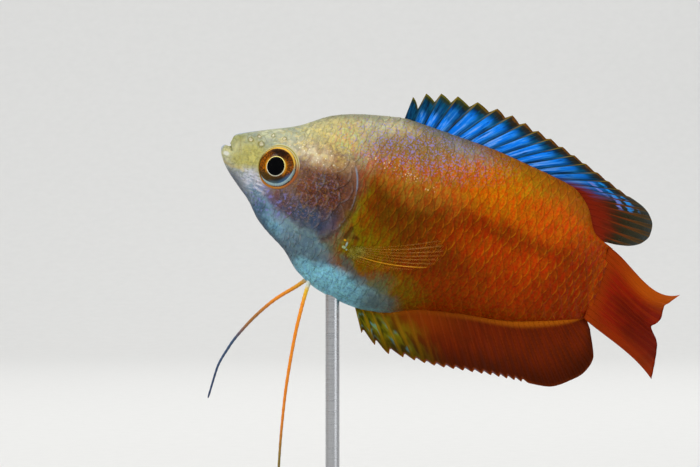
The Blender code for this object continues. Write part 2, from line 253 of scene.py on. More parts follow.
# %% [markdown]
# ## The studio
#
# A museum photographs a small model on a pale sweep: a floor that curves up into a wall, so that no horizon
# shows. Large soft lamps stand close to the fish, because small lamps would draw hard sparks on the wet
# scales. The main one hangs up and to the left, where the light in the photo comes from.

# %% Floor and wall
SWEEP_WIDE, SWEEP_FRONT, SWEEP_BACK, SWEEP_BEND, SWEEP_TALL = 4, -2, 0.9, 0.5, 2.4  # in metres
PAPER_MOTTLE = 0.004


def sweep_profile(turns=16):
    """(y, z) along the floor, round the bend and up the wall."""
    line = [(SWEEP_FRONT, 0), (SWEEP_BACK, 0)]
    for step in range(1, turns + 1):
        turn = math.radians(90) * step / turns
        line.append((SWEEP_BACK + SWEEP_BEND * math.sin(turn), SWEEP_BEND * (1 - math.cos(turn))))
    line.append((SWEEP_BACK + SWEEP_BEND, SWEEP_TALL))
    return line


def make_sweep():
    """The pale floor and wall in one curved sheet."""
    line = sweep_profile()
    points = [(x, y, z) for y, z in line for x in (-SWEEP_WIDE / 2, SWEEP_WIDE / 2)]
    faces = [(2 * i, 2 * i + 1, 2 * i + 3, 2 * i + 2) for i in range(len(line) - 1)]
    mesh = bpy.data.meshes.new("studio_sweep")
    mesh.from_pydata(points, [], faces)
    mesh.shade_smooth()
    material, shader = new_finish("pale_paper", Roughness=0.9)
    where = node("TexCoord")["Object"]
    mottle = speckle(where, PAPER_MOTTLE, 4)
    feed(shader, Base_Color=blend(mottle, tone(226, 225, 222), tone(232, 231, 228)))
    mesh.materials.append(material)
    put("studio_sweep", mesh)


make_sweep()
print("the paper bends up", SWEEP_BACK, "m behind the fish")

# %% [markdown]
# ## Lamps
#
# Three square lamps light the fish: a warm key lamp, a weaker cool one that fills its shadows, and one
# behind that lifts the back from the wall. A fourth lights only the wall. A pale glow from all sides stands
# for the rest of the room.

# %% Lamps and air


def lamp(name, place, aim, size, power, colour=(1, 1, 1)):
    """A square soft lamp that points at the fish."""
    light = bpy.data.lights.new(name, "AREA")
    light.shape, light.size = "SQUARE", size
    light.energy, light.color = power, colour
    holder = put(name, light)
    holder.location = place
    holder.rotation_euler = (Vector(aim) - Vector(place)).to_track_quat("-Z", "Y").to_euler()


FISH_MIDDLE = (0, 0, 0.055)
WALL_MIDDLE = (0, 1.4, 0.12)
AIR_GLOW = 0.5
lamp("key_lamp", (-0.45, -0.55, 0.75), FISH_MIDDLE, 0.35, 6.4, (1, 0.98, 0.95))
lamp("fill_lamp", (0.75, -0.6, 0.25), FISH_MIDDLE, 0.6, 2.2, (0.94, 0.97, 1))
lamp("back_lamp", (0.2, 0.7, 0.7), FISH_MIDDLE, 0.5, 1.2)
lamp("wall_lamp", (0, 0.5, 0.95), WALL_MIDDLE, 0.9, 4.5)
air = bpy.data.worlds.new("studio_air")
air.use_nodes = True
air.node_tree.nodes["Background"].inputs["Color"].default_value = tone(226, 230, 236)
air.node_tree.nodes["Background"].inputs["Strength"].default_value = AIR_GLOW
bpy.context.scene.world = air
bpy.context.scene.view_settings.view_transform = "Standard"
print("studio: one sweep, four lamps")

# %% [markdown]
# ## The fish's own frame
#
# A fish is easiest to describe lying level: so far along from the lips, so far up over its axis, so far out
# to its left. The same marks that shaped the solids shape the skin, so that it fits them everywhere. Each
# table pairs a place along the body with one measure there, in millimetres: the lines of back and belly,
# half the width, the level of the widest point, and how much the flank's curve is pinched.

# %% Lines of the body
SNOUT, TAIL_ROOT = -0.25, 57.5
BACK_LINE = (
    (-0.25, 0.15), (0.1, 0.6), (0.7, 0.72), (0.9, 2.2), (1.5, 2.78), (2.1, 3.1), (5, 4.6), (9, 6.65),
    (13, 9.6), (16, 11), (20, 12.2), (24, 12.95), (35, 13), (43, 12.5), (49, 11.8),
    (52, 9.9), (54.4, 6.6), (57.5, 5.4),
)
BELLY_LINE = (
    (-0.25, -0.15), (0, -0.75), (1, -2.1), (4, -4.5), (6, -5.9), (8, -7.9), (10, -9.2),
    (13, -10.8), (16, -13.2), (20, -14.75), (25, -15.25), (29, -14.7), (34, -12.5),
    (40, -11), (46, -9.9), (51, -8.2), (57.5, -5.5),
)
HALF_WIDTH = (
    (-0.25, 0.3), (0.2, 0.95), (2, 1.85), (5, 2.95), (8.2, 3.75), (12, 4.4), (16, 4.8), (20, 4.95),
    (27, 4.9), (34, 4.4), (41, 3.6), (48, 2.6), (53, 1.8), (57.5, 1.2),
)
WIDEST_LEVEL = (
    (-0.25, 0), (2, 0.3), (8, -0.1), (14, -1.4), (20, -3.4), (27, -3.6), (36, -1),
    (46, 0.4), (57.5, 0),
)
KEEL = ((-0.25, 0.8), (6, 0.75), (13, 0.85), (22, 1), (40, 1.1), (57.5, 1))
print("deepest at", max(BACK_LINE, key=lambda mark: mark[1])[0], "mm from the lips")

# %% [markdown]
# ## Smooth lines through marks
#
# A curve through such marks must not swing past them, or the belly would sag between two of them. A
# monotone cubic keeps every rise and fall where the marks have it.

# %% Smooth lines


def smooth_line(marks, column=1):
    """A monotone cubic through the marks, which never overshoots. It takes arrays too."""
    x = np.array([m[0] for m in marks], float)
    y = np.array([m[column] for m in marks], float)
    step, slope = np.diff(x), np.diff(y) / np.diff(x)
    tangent = np.zeros(len(x))
    tangent[0], tangent[-1] = slope[0], slope[-1]
    for i in range(1, len(x) - 1):
        if slope[i - 1] * slope[i] > 0:
            before, after = 2 * step[i] + step[i - 1], step[i] + 2 * step[i - 1]
            tangent[i] = (before + after) / (before / slope[i - 1] + after / slope[i])

    def value(at):
        at = np.clip(at, x[0], x[-1])
        i = np.clip(np.searchsorted(x, at, side="right") - 1, 0, len(x) - 2)
        h, t = step[i], (at - x[i]) / step[i]
        start = y[i] * (1 + 2 * t) + h * tangent[i] * t
        end = y[i + 1] * (3 - 2 * t) - h * tangent[i + 1] * (1 - t)
        return start * (1 - t) ** 2 + end * t ** 2

    return value


back, belly, half_width = smooth_line(BACK_LINE), smooth_line(BELLY_LINE), smooth_line(HALF_WIDTH)
widest_level, keel = smooth_line(WIDEST_LEVEL), smooth_line(KEEL)
print("depth at mid body, mm:", round(float(back(30) - belly(30)), 2))

# %% [markdown]
# ## Over the stand
#
# One function puts a place of the level fish over the stand: nose up by some twenty degrees, as in the
# photo, with the rear of the body and the tail fin swung away. Every mesh below goes through it, so the
# pose is set in one place only.

# %% From the fish's frame to the stand's
NOSE_UP = math.radians(19.7)
BEND_START, BODY_BEND, FIN_BEND = 36, 0.0071, 0.0235  # mm along, then sway in mm for each square mm


def joined(*columns):
    """Arrays side by side as vectors, each of them spread to the shape of all."""
    return np.stack(np.broadcast_arrays(*columns), axis=-1)


def over_stand(places):
    """Places in the fish's frame, in mm, as points over the stand, in metres."""
    along, up, out = places[..., 0], places[..., 1], places[..., 2]
    x = LIPS_AT[0] + along * math.cos(NOSE_UP) + up * math.sin(NOSE_UP)
    z = LIPS_AT[1] - along * math.sin(NOSE_UP) + up * math.cos(NOSE_UP)
    sway = BODY_BEND * np.maximum(0, along - BEND_START) ** 2
    sway = sway + FIN_BEND * np.maximum(0, along - TAIL_ROOT) ** 2
    return joined(x, sway - out, z) * MM


print("tail root over the stand:", over_stand(np.array([TAIL_ROOT, 0, 0])).round(4))

# %% [markdown]
# ## Meshes from grids
#
# Nearly every piece here is a grid of points that is rolled up into a skin, a fin or a scale. One function
# makes the mesh and stores with each point where it lies on the fish. The markings are painted from that
# place, so a scale always has the colour of the skin under it.

# %% Helper for meshes


def make_piece(name, places, faces, material, uv=None, slot=None, **stored):
    """A smooth object from places in the fish's frame, which it stores with any other vectors given."""
    faces = faces if isinstance(faces, list) else faces.tolist()
    mesh = bpy.data.meshes.new(name)
    mesh.from_pydata(over_stand(places).tolist(), [], faces)
    for key, vectors in {"fish": places, **stored}.items():
        layer = mesh.attributes.new(key, "FLOAT_VECTOR", "POINT")
        layer.data.foreach_set("vector", np.asarray(vectors, np.float32).ravel())
    if uv is not None:
        corners = np.empty(len(mesh.loops), np.int32)
        mesh.loops.foreach_get("vertex_index", corners)
        mesh.uv_layers.new(name="OFBake").data.foreach_set("uv", uv[corners].astype(np.float32).ravel())
    mesh.shade_smooth()
    mesh.materials.append(material)
    piece = put(name, mesh)
    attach(piece, "root")
    triangles = sum(len(face) - 2 for face in faces)
    print(f"{name}: {len(places)} points, {triangles} triangles")
    return piece


def grid_faces(rows, columns, wrap=False):
    """Quads over a grid of rows by columns. With wrap, the last column joins the first."""
    r = np.arange(rows - 1)[:, None]
    c = np.arange(columns if wrap else columns - 1)[None, :]
    after = (c + 1) % columns
    corners = [r * columns + c, (r + 1) * columns + c, (r + 1) * columns + after, r * columns + after]
    return joined(*corners).reshape(-1, 4)


# %% [markdown]
# ## The relief of the head
#
# The skin adds what the solids leave out: the mouth slit between rolled lips, the fold behind them, the
# nostrils and pores, the ridge before the gill cover and the cover's free rear edge. The places come first,
# all seen from the side.

# %% Places on the head, in mm
EYE_ALONG, EYE_UP, EYE_OUT = 8.4, 0.05, 2.8
EYE_RADIUS, EYE_HALF_DEPTH, EYE_OPENING = 2.75, 2, 2.66
GILL_ALONG, GILL_UP, GILL_HALF_LENGTH, GILL_HALF_HEIGHT = 16, -1.1, 4.3, 6.6
MOUTH_SLIT = ((0.2, 0.8), (0.8, 0.75), (1.35, 0.1))
LIP_FOLD = ((1.75, 3.2), (1.8, 2.44), (2.4, 0.93), (2.7, -0.14), (3.44, -1.32), (3.3, -1.9))
CHEEK_RIDGE = ((12.2, 4.4), (12.5, 1), (11.9, -3), (9.8, -6), (7, -6.2))
# the line along which painted highlights lie over the shoulder
HIGHLIGHT_ROW = ((20.5, 5.7), (25, 5.3), (30, 4.6))
JAW_SILL = ((0.7, -1.7), (2.1, -2.05), (3.3, -1.8), (3.9, -2.1))
NOSTRILS = ((3.45, 2.45, 0.34, 0.2), (5.03, 2.35, 0.42, 0.26))  # along, up, radius, depth
PORES = (
    (6.25, 4.05), (7.95, 4.2), (4.4, 3.3), (9.6, 4.6), (4.1, 0.5), (4, -0.9), (4.9, -2.6), (6.4, -3.7),
    (8.4, -4.2), (10.6, -3.9), (12.4, -2.4),
)
print("pores and nostrils:", len(PORES) + len(NOSTRILS))

# %% [markdown]
# ## How far the skin rises
#
# Sculpting by hand would do too, but a sum of soft bumps stays exact when the mesh gets finer. A bump falls
# off with the distance from a line or a spot. Below zero it is a groove, as at the mouth, and a bump round
# a circle is a rim, as at a nostril.

# %% Bumps and distances


def path_distance(along, up, path):
    """How far each place is from a line of straight runs, in the side view."""
    nearest = np.full(along.shape, 1e9)
    for (a0, u0), (a1, u1) in zip(path, path[1:]):
        da, du = a1 - a0, u1 - u0
        share = np.clip(((along - a0) * da + (up - u0) * du) / (da * da + du * du), 0, 1)
        nearest = np.minimum(nearest, np.hypot(along - a0 - share * da, up - u0 - share * du))
    return nearest


def bump(distance, width):
    """1 on a line or spot, falling softly to 0 away from it."""
    return np.exp(-((distance / width) ** 2))


def step(value, low, high):
    """A soft step from 0 to 1."""
    t = np.clip((value - low) / (high - low), 0, 1)
    return t * t * (3 - 2 * t)


print("a bump at its own width is", round(float(bump(1, 1)), 2), "of its height")

# %% [markdown]
# ## Gill cover and head
#
# The gill cover's rear edge is a step down to the shoulder, with a thin raised border on it. The head adds
# the rest. Behind the eye the skin sinks out of the way.

# %% Relief in mm
SLIT_DEEP, FOLD_DEEP, RIDGE_GROOVE, RIDGE_HIGH = 0.42, 0.05, 0.04, 0.03
NOSTRIL_RIM, PORE_RIM, PORE_DEEP, PORE_WIDE = 0.09, 0.06, 0.1, 0.26
GILL_STEP, GILL_BORDER, EYE_SUNK = 0.34, 0.05, 2.6


def gill_distance(along, up):
    """About how many mm a place is outside the gill cover's rim."""
    reach = np.hypot((along - GILL_ALONG) / GILL_HALF_LENGTH, (up - GILL_UP) / GILL_HALF_HEIGHT)
    return (reach - 1) * 5


def gill_relief(along, up):
    """The step down behind the gill cover, and the thin raised border on it."""
    outside = gill_distance(along, up)
    rear = step(along - GILL_ALONG, -1.5, 2)
    drop = -GILL_STEP * step(outside, 0, 0.12) * np.exp(-np.maximum(outside, 0) / 1.6)
    border = GILL_BORDER * bump(outside + 0.25, 0.3)
    return rear * (drop + border)


def head_relief(along, up):
    """Rise of the skin over the solids, in mm."""
    rise = -SLIT_DEEP * bump(path_distance(along, up, MOUTH_SLIT), 0.12)
    fold = path_distance(along, up, LIP_FOLD)
    rise -= FOLD_DEEP * bump(fold, 0.17) * (0.5 + 0.5 * step(up, 2.9, 2)) * step(up, -2.4, -1.6)
    ridge = path_distance(along, up, CHEEK_RIDGE)
    rise += RIDGE_HIGH * bump(ridge - 0.5, 0.3) - RIDGE_GROOVE * bump(ridge, 0.28)
    for a, u, radius, depth in NOSTRILS:
        away = np.hypot(along - a, up - u)
        rise += NOSTRIL_RIM * bump(away - radius, 0.12) - depth * bump(away, radius * 0.6)
    for a, u in PORES:
        away = np.hypot(along - a, up - u)
        rise += PORE_RIM * bump(away - PORE_WIDE, 0.1) - PORE_DEEP * bump(away, 0.14)
    return rise + gill_relief(along, up)


def eye_hollow(along, up):
    """How far the skin sinks behind the eye."""
    away = np.hypot(along - EYE_ALONG, up - EYE_UP)
    return -EYE_SUNK * (1 - step(away, EYE_OPENING - 0.2, EYE_OPENING))


print("gill cover step, mm:", round(float(gill_relief(np.array([20.6]), np.array([-1]))[0]), 2))

# %% [markdown]
# ## The skin
#
# One closed skin runs from the lips to the root of the tail fin, so that no seam shows where the solids
# were parted. It is a loft: rings round the body, crowded at the mouth where the shapes are small. It lies
# inside the solids by the depth of the scales, and each point is moved along the skin's own normal by the
# relief.

# %% The skin as a grid
COAT_DEPTH = (
    (-0.25, 0.02), (4, 0.03), (9, 0.06), (14, 0.1), (20, 0.14), (50, 0.13), (57.5, 0.1),
)
RING_SPACING = (
    (-0.25, 0.03), (1.4, 0.032), (3.5, 0.07), (6, 0.11), (12.5, 0.13), (20, 0.2), (57.5, 0.36),
)
LAST_GAP = 0.3
HALF_RING = 126
OVERHANG = 0.75  # the grid goes this much further round, past the back and the belly, in radians
coat_depth = smooth_line(COAT_DEPTH)


def ring_places():
    """Where the rings are along the body."""
    spacing = smooth_line(RING_SPACING)
    places = [SNOUT]
    while places[-1] < TAIL_ROOT - LAST_GAP:
        places.append(places[-1] + float(spacing(places[-1])))
    places[-1] = TAIL_ROOT
    return np.array(places)


def body_places(along, turn):
    """Places on the plain body. A turn of 0 is the back and a quarter turn the left flank."""
    level, inset = widest_level(along), coat_depth(along)
    reach = np.where(np.cos(turn) > 0, back(along) - level, level - belly(along)) - inset
    side = np.sign(np.sin(turn)) * np.abs(np.sin(turn)) ** keel(along)
    return joined(along, level + reach * np.cos(turn), (half_width(along) - inset) * side)


def unit(vectors):
    """The same directions, each one long."""
    return vectors / np.maximum(np.linalg.norm(vectors, axis=-1, keepdims=True), 1e-9)


def body_normals(along, turn):
    """Outward normals of the plain body, from small steps along and round it."""
    small = 0.01
    ahead = body_places(along + small, turn) - body_places(along - small, turn)
    round_it = body_places(along, turn + small) - body_places(along, turn - small)
    return unit(np.cross(round_it, ahead))


def skin_places(along, turn, hollow=True):
    """Places on the finished skin, and its plain normals."""
    plain, normal = body_places(along, turn), body_normals(along, turn)
    rise = head_relief(plain[..., 0], plain[..., 1])
    places = plain + normal * rise[..., None]
    if hollow:
        places[..., 2] += eye_hollow(plain[..., 0], plain[..., 1]) * np.sign(plain[..., 2])
    return places, normal


rings = ring_places()
print("rings:", len(rings), "points round each:", 2 * HALF_RING)

# %% [markdown]
# ## Markings
#
# A red dwarf gourami isn't one red. The lips and nape are cream, the gill cover mauve brown, the throat and
# belly icy blue, the armpit olive, and the flank goes from gold under the back to deep flame red. Each is
# painted like a glaze, one soft oval over the last, with edges that a cloudy noise breaks up.

# %% The glazes
FLAME = tone(150, 51, 1)
GLAZES = (
    # centre along and up, half length, half height, tilt in degrees, softness, strength, colour
    ("ember_flank", 30, -3, 10, 6.5, -8, 0.8, 0.9, 104, 46, 1),
    # painted shade: a darker band on the shoulder behind the gill cover
    ("shoulder_shade", 26.2, 0.5, 5.6, 3.8, -15, 0.7, 0.85, 94, 54, 3),
    ("gold_flank", 40, 8.3, 17, 4.6, -6, 0.55, 1, 190, 100, 4),
    ("hind_glow", 50, 4.6, 7, 4.6, -20, 0.7, 0.7, 184, 72, 2),
    ("umber_seam", 45, 1.9, 10, 1.2, -3, 0.7, 0.6, 112, 42, 1),
    ("ember_glow", 44.5, -1.3, 9.5, 2, 0, 0.7, 0.5, 178, 66, 1),
    ("rust_keel", 42, -9.5, 12, 3, 5, 0.7, 0.6, 126, 50, 1),
    ("red_stem", 55.5, -1.5, 6, 7.5, 0, 0.6, 0.85, 128, 40, 1),
    ("gold_shoulder", 26, 5.6, 7, 3.1, -10, 0.8, 0.9, 172, 108, 34),
    ("olive_armpit", 23.3, -7, 4.3, 3.7, 20, 0.6, 1, 114, 90, 4),
    ("olive_seam", 20.9, -3, 1.2, 4.6, -4, 0.6, 0.75, 112, 96, 8),
    ("olive_belly", 29.8, -11.6, 4.4, 3, 14, 0.6, 0.9, 112, 84, 8),
    ("grey_vent", 27.4, -11, 1.8, 1.3, 20, 0.6, 0.8, 86, 98, 72),
    ("mauve_back", 25, 10.8, 9.5, 3.3, 3, 0.6, 1, 148, 118, 66),
    ("gold_crest", 41.5, 11.2, 5.5, 2.2, -14, 0.6, 0.9, 178, 116, 10),
    ("lilac_crest", 31.5, 12.2, 4.8, 1.5, -10, 0.6, 0.85, 142, 134, 122),
    ("beige_back", 17.6, 12, 7.6, 3, 8, 0.5, 0.95, 212, 202, 154),
    ("cream_head", 5, 5, 15, 9.5, 20, 0.35, 1, 154, 160, 138),
    ("yellow_nape", 14.8, 7.2, 4.4, 3.4, 30, 0.6, 0.95, 196, 182, 124),
    ("pale_brow", 6.6, 4.3, 2.6, 1, 10, 0.6, 0.45, 204, 204, 168),
    ("yellow_snout", 3.3, -0.2, 3.6, 2.6, 10, 0.35, 0.85, 176, 168, 92),
    ("silver_cheek", 6.4, -3.6, 2.6, 1.4, -30, 0.5, 1, 168, 168, 182),
    ("rose_cheek", 9.2, -5.1, 3.3, 1.5, -20, 0.5, 0.9, 104, 88, 118),
    ("umber_cheek", 10.8, -3.4, 1.7, 0.8, 0, 0.6, 0.7, 84, 64, 60),
    ("mauve_gill", 14.8, -0.6, 5.2, 5.6, 4, 0.35, 1, 106, 76, 60),
    ("rosy_gill_top", 14.4, 3.5, 3.9, 1.5, 0, 0.6, 0.9, 168, 132, 92),
    ("wine_gill", 16.4, -2, 3.4, 3.9, 0, 0.55, 0.95, 74, 48, 36),
    ("slate_gill", 14.6, -5.5, 4.8, 2.1, -10, 0.7, 0.9, 54, 72, 92),
    ("teal_gill_foot", 13.6, -8.2, 3.2, 1.3, -30, 0.6, 0.9, 116, 152, 160),
    ("slate_corner", 19, -8.2, 1.7, 1.2, -35, 0.6, 0.95, 88, 96, 80),
    ("icy_corner", 16.7, -8.2, 2.2, 1.2, -30, 0.6, 0.95, 98, 130, 138),
    ("icy_throat", 9, -9, 8.6, 2.7, -40, 0.45, 1, 116, 164, 186),
    ("slate_throat", 7.8, -7, 2.8, 1.1, -45, 0.6, 0.8, 70, 88, 116),
    # painted shade along the lower outline of the throat
    ("throat_edge_shade", 10.8, -9.9, 4.4, 0.9, -42, 0.5, 0.6, 70, 100, 120),
    ("ashen_jaw", 3.4, -3.9, 3.2, 1.5, -42, 0.6, 0.9, 146, 150, 158),
    ("icy_breast", 16.8, -11.2, 5.2, 3, -30, 0.35, 1, 88, 112, 126),
    ("icy_belly", 22, -14, 7.6, 3.1, -4, 0.3, 1, 126, 190, 212),
    ("shaded_vent", 28, -13.4, 3, 1.8, 0, 0.6, 0.85, 88, 100, 98),
    ("slate_mottle", 22.6, -9.9, 1.7, 0.8, -25, 0.6, 0.8, 74, 84, 84),
    ("slate_patch", 24.2, -11.3, 1.5, 0.8, 10, 0.6, 0.75, 72, 88, 88),
    # painted shade in the notch over the pectoral fin's root
    ("notch_shade", 21.7, -6.1, 0.5, 0.45, 0, 0.7, 0.8, 72, 42, 6),
    ("cream_lips", 0.5, 0, 1.6, 2, -20, 0.5, 0.7, 182, 182, 146),
)
print("glazes:", len(GLAZES))

# %% [markdown]
# ## Soft ovals
#
# A mapping node turns and shrinks space so that an oval becomes a ball of radius one. The distance from its
# middle then fades the paint out. Before the glazes are laid, a cloudy noise pushes every place a little
# aside, so that no outline looks drawn with a compass.

# %% Ovals and glazes
DRIFT = 3.2  # how far the glazes' outlines wander, in mm for a full swing of the noise
ANY_DEPTH = 1000  # ovals reach through the whole fish


def oval(where, along, up, length, height, softness=0.4, tilt=0, strength=1, label=""):
    """The strength inside a soft oval, and 0 outside."""
    inputs = {
        "Vector": where, "Location": (along, up, 0), "Rotation": (0, 0, math.radians(tilt)),
        "Scale": (length, height, ANY_DEPTH),
    }
    ball = node("Mapping", inputs, vector_type="TEXTURE", label=label)[0]
    reach = node("VectorMath", {0: ball}, operation="LENGTH")["Value"]
    return fade(reach, 1 + softness, 1 - softness, 0, strength)


def lay_glazes(where):
    """The glazes in turn over the flame red, at the places given."""
    cloud = node("TexNoise", {"Vector": where, "Scale": 0.45, "Detail": 3})["Color"]
    drift = node("VectorMath", {0: cloud, 1: (0.5, 0.5, 0.5)}, operation="SUBTRACT")[0]
    drift = node("VectorMath", {0: drift, "Scale": DRIFT}, operation="SCALE")[0]
    ragged = node("VectorMath", {0: where, 1: drift}, operation="ADD")[0]
    colour = FLAME
    for name, along, up, length, height, tilt, softness, strength, *pigment in GLAZES:
        share = oval(ragged, along, up, length, height, softness, tilt, strength, name)
        colour = paint(colour, (share, *pigment))
    return colour


def gill_edge(along, up):
    """1 on the gill cover's rim, less inside it and more outside."""
    ahead = calc("DIVIDE", minus(along, GILL_ALONG), GILL_HALF_LENGTH)
    above = calc("DIVIDE", minus(up, GILL_UP), GILL_HALF_HEIGHT)
    return reach_of(ahead, above)


print("the glazes' outlines wander by up to", DRIFT / 2, "mm")

# %% [markdown]
# ## Pigment in the skin
#
# Close up, no patch of a fish is one flat colour. The flank carries upright streaks of redder and more
# golden cells, and the pale head is grainy, with olive veins that mesh like lace and cream islands between
# them. Both are tints that multiply the glazes, so they change with the colour under them.

# %% Streaks, grains and lace
UPRIGHT = (3.4, 0.55, 3.4)  # streaks in a mm along, up and out
VEIN_TINT, ISLAND_TINT = (0.6, 0.58, 0.4), (1.4, 1.36, 1.3)


def tinted(colour, share, low, high):
    """The colour times a tint, which goes from low to high with the share."""
    tint = blend(share, (*low, 1), (*high, 1))
    return node("VectorMath", {0: colour, 1: tint}, operation="MULTIPLY")[0]


def flame_pigment(where, colour):
    """Upright streaks on the flank, redder and more golden, and fainter ones on the back."""
    seat = node("Mapping", {"Vector": where, "Scale": UPRIGHT})[0]
    streak = fade(speckle(seat, 1, 3, 0.65), 0.38, 0.62)
    vivid = tinted(colour, streak, (1.1, 0.62, 0.5), (0.94, 1.26, 1))
    faint = tinted(colour, streak, (1.08, 0.9, 0.85), (0.96, 1.06, 1))
    colour = blend(oval(where, 21, 11.5, 13, 4.5, 0.5), vivid, faint)
    grain = fade(speckle(where, 0.34), 0.34, 0.66)
    return tinted(colour, grain, (0.85, 0.85, 0.85), (1.15, 1.15, 1.15))


def cream_pigment(where, colour, cloud):
    """The head's pale skin: grainy, with a lace of olive veins and cream islands."""
    grain = fade(speckle(where, 0.5, 3, 0.6), 0.3, 0.7)
    colour = tinted(colour, grain, (0.84, 0.85, 0.92), (1.14, 1.12, 1))
    wander = node("TexNoise", {"Vector": where, "Scale": 1.1, "Detail": 2})["Color"]
    bend = {0: wander, 1: (1.4, 1.4, 1.4), 2: where}
    bent = node("VectorMath", bend, operation="MULTIPLY_ADD")[0]
    lace = node("TexVoronoi", {"Vector": bent, "Scale": 0.85}, feature="DISTANCE_TO_EDGE")["Distance"]
    veins = times(fade(lace, 0.09, 0.02), fade(cloud, 0.4, 0.6, 0.1, 0.5))
    colour = paint(colour, (veins, tinted(colour, 0.5, VEIN_TINT, VEIN_TINT)))
    islands = times(fade(cloud, 0.52, 0.62, 0, 0.45), fade(lace, 0.08, 0.2))
    return paint(colour, (islands, tinted(colour, 0.5, ISLAND_TINT, ISLAND_TINT)))


print("the flank's streaks are", round(UPRIGHT[0] / UPRIGHT[1], 1), "times as tall as they are wide")

# %% [markdown]
# ## Small masks
#
# The fine marks of the head need masks of their own: rings round the nostrils and pores, lines along a path,
# the outline of lips and forehead, and round painted highlights.

# %% Rings, lines and sparks
FAR_OFF = 1000  # more than any distance on the fish, in mm


def pore_rings(along, up, ragged):
    """Ragged masks for the olive rims and pale hearts of nostrils and pores."""
    rim, heart = 0, 0
    for a, u, radius in [spot[:3] for spot in NOSTRILS] + [(*spot, 0.24) for spot in PORES[:3]]:
        away = reach_of(minus(along, a), minus(up, u))
        away = plus(away, minus(ragged, 0.5), 0.5)
        rim = most(rim, band(away, radius * 0.9, radius * 1.15, 0.09))
        heart = most(heart, fade(away, radius * 0.8, radius * 0.3))
    return rim, heart


def lip_highlight(along, up, out):
    """1 along the middle of the lips and of the forehead, where a bluish highlight is painted."""
    middle = fade(calc("ABSOLUTE", out), 0.8, 0.35)
    above = fade(plus(up, along, 0.6), -0.8, 0.2)
    return times(middle, above, fade(along, 7, 2, 0.12, 0.6), fade(along, 16, 9))


def line_mask(along, up, path, width):
    """1 on a line of straight runs, in the side view."""
    nearest = FAR_OFF
    for (a0, u0), (a1, u1) in zip(path, path[1:]):
        length = math.hypot(a1 - a0, u1 - u0)
        ahead, aside = (a1 - a0) / length, (u1 - u0) / length
        da, du = minus(along, a0), minus(up, u0)
        run = plus(times(da, ahead), times(du, aside))
        within = node("Clamp", {"Value": run, "Min": 0, "Max": length})[0]
        off = minus(times(du, ahead), times(da, aside))
        nearest = calc("MINIMUM", nearest, reach_of(minus(run, within), off))
    return fade(nearest, width, width * 0.3)


def highlight_dots(where, size):
    """Round painted highlights, one in some of the cells of this size in mm."""
    cells = node("TexVoronoi", {"Vector": where, "Scale": 1 / size})
    lit = parts_of(cells["Color"])[0]
    return times(fade(cells["Distance"], 0.42, 0.18), fade(lit, 0.45, 0.9))


print("nostrils and pores with painted rims:", len(NOSTRILS) + 3)

# %% [markdown]
# ## Marks of head and gill cover
#
# Over the glazes come the marks of the head: golden grains on the nape, a pale mist with painted highlights
# behind the eye, violet under it, silver strokes before it that are partly a painted sheen, and rust and
# dust on the gill cover, whose rear rim gets a painted icy highlight. Each function paints on what the last
# one left.

# %% Paint on the head
GILL_DUST = ((0.3, 150, 134, 168), (0.38, 178, 132, 44))  # size of a speck in mm, colour


def nape_gold(where, cloud, colour):
    """Golden grains on the nape, a pale mist behind the eye and painted highlights in it."""
    gilt = fade(speckle(where, 0.8, 3, 0.65), 0.47, 0.62, 0, 0.65)
    gilt = times(gilt, oval(where, 12.8, 4.9, 5.2, 2.5, 0.5, 12))
    misty = oval(where, 11.6, 3.5, 2.9, 1.5, 0.7)
    misty = times(misty, fade(cloud, 0.35, 0.6, 0.2, 0.8))
    # painted highlights: hot dots in the pale mist behind the eye
    hot = times(highlight_dots(where, 0.36), oval(where, 12.4, 3.5, 4.6, 1.5, 0.6))
    return paint(colour, (gilt, 232, 204, 112), (misty, 218, 206, 174), (hot, 238, 226, 196))


def cheek_marks(where, colour):
    """Violet and silver by the eye, the silver partly a painted sheen, and rust and dust on the gill cover.
    """
    violet = fade(speckle(where, 0.5), 0.54, 0.66, 0, 0.6)
    violet = times(violet, oval(where, 9, -5, 4.5, 2))
    rusty = fade(speckle(where, 0.24), 0.52, 0.66, 0, 0.45)
    rusty = times(rusty, oval(where, 15.5, 0.2, 3.6, 3.6))
    colour = paint(colour, (violet, 122, 122, 196), (rusty, 146, 72, 30))
    cover = oval(where, 13.6, -1.4, 5, 4.6, 0.3)
    for size, *pigment in GILL_DUST:
        dust = fade(speckle(where, size, 2, 0.6), 0.5, 0.66, 0, 0.24)
        colour = paint(colour, (times(dust, cover), *pigment))
    # silvery skin before the eye, in pale strokes that are partly a painted sheen
    slant = {"Vector": where, "Rotation": (0, 0, math.radians(12)), "Scale": (0.8, 3, 1)}
    strokes = node("Mapping", slant)[0]
    silver_and_sheen = fade(speckle(strokes, 1, 3, 0.6), 0.42, 0.62, 0, 0.75)
    silver_and_sheen = times(silver_and_sheen, oval(where, 5.7, -3, 2.2, 1.1, 0.5, -30))
    return paint(colour, (silver_and_sheen, 214, 214, 226))


def gill_light(where, along, up, rim_share, colour):
    """A painted highlight: icy light on the gill cover's rear rim, broken into dashes lower down."""
    edge = band(rim_share, 0.965, 0.985, 0.03)
    edge = times(edge, fade(along, 17, 19), band(up, -5, 3.2, 0.9))
    dashes = times(fade(speckle(where, 0.5, 1), 0.42, 0.58), 0.2)
    strength = most(fade(up, -0.2, 1.4, 0, 0.6), dashes)
    return paint(colour, (times(edge, strength), 132, 154, 176))


def outline_shades(along, up, out, colour):
    """Painted shade along the middle of the back and of the throat, where the body turns away from the
    light; on the back it is partly a dusky midline too.
    """
    edge_on = calc("ABSOLUTE", out)
    # painted shade along the back's midline, partly a dusky midline in the skin
    ridge = times(fade(edge_on, 2.4, 0.8), fade(up, 6, 9), fade(along, 8, 14), 0.65)
    dusk = blend(fade(along, 30, 38), tone(96, 102, 86), tone(140, 84, 14))
    # painted shade along the throat's midline
    throat = times(fade(edge_on, 2.3, 0.7), fade(up, -1.8, -3.6), fade(along, 17.5, 12.5, 0, 0.75))
    return paint(colour, (ridge, dusk), (throat, 44, 58, 76))


print("kinds of dust on the gill cover:", len(GILL_DUST))
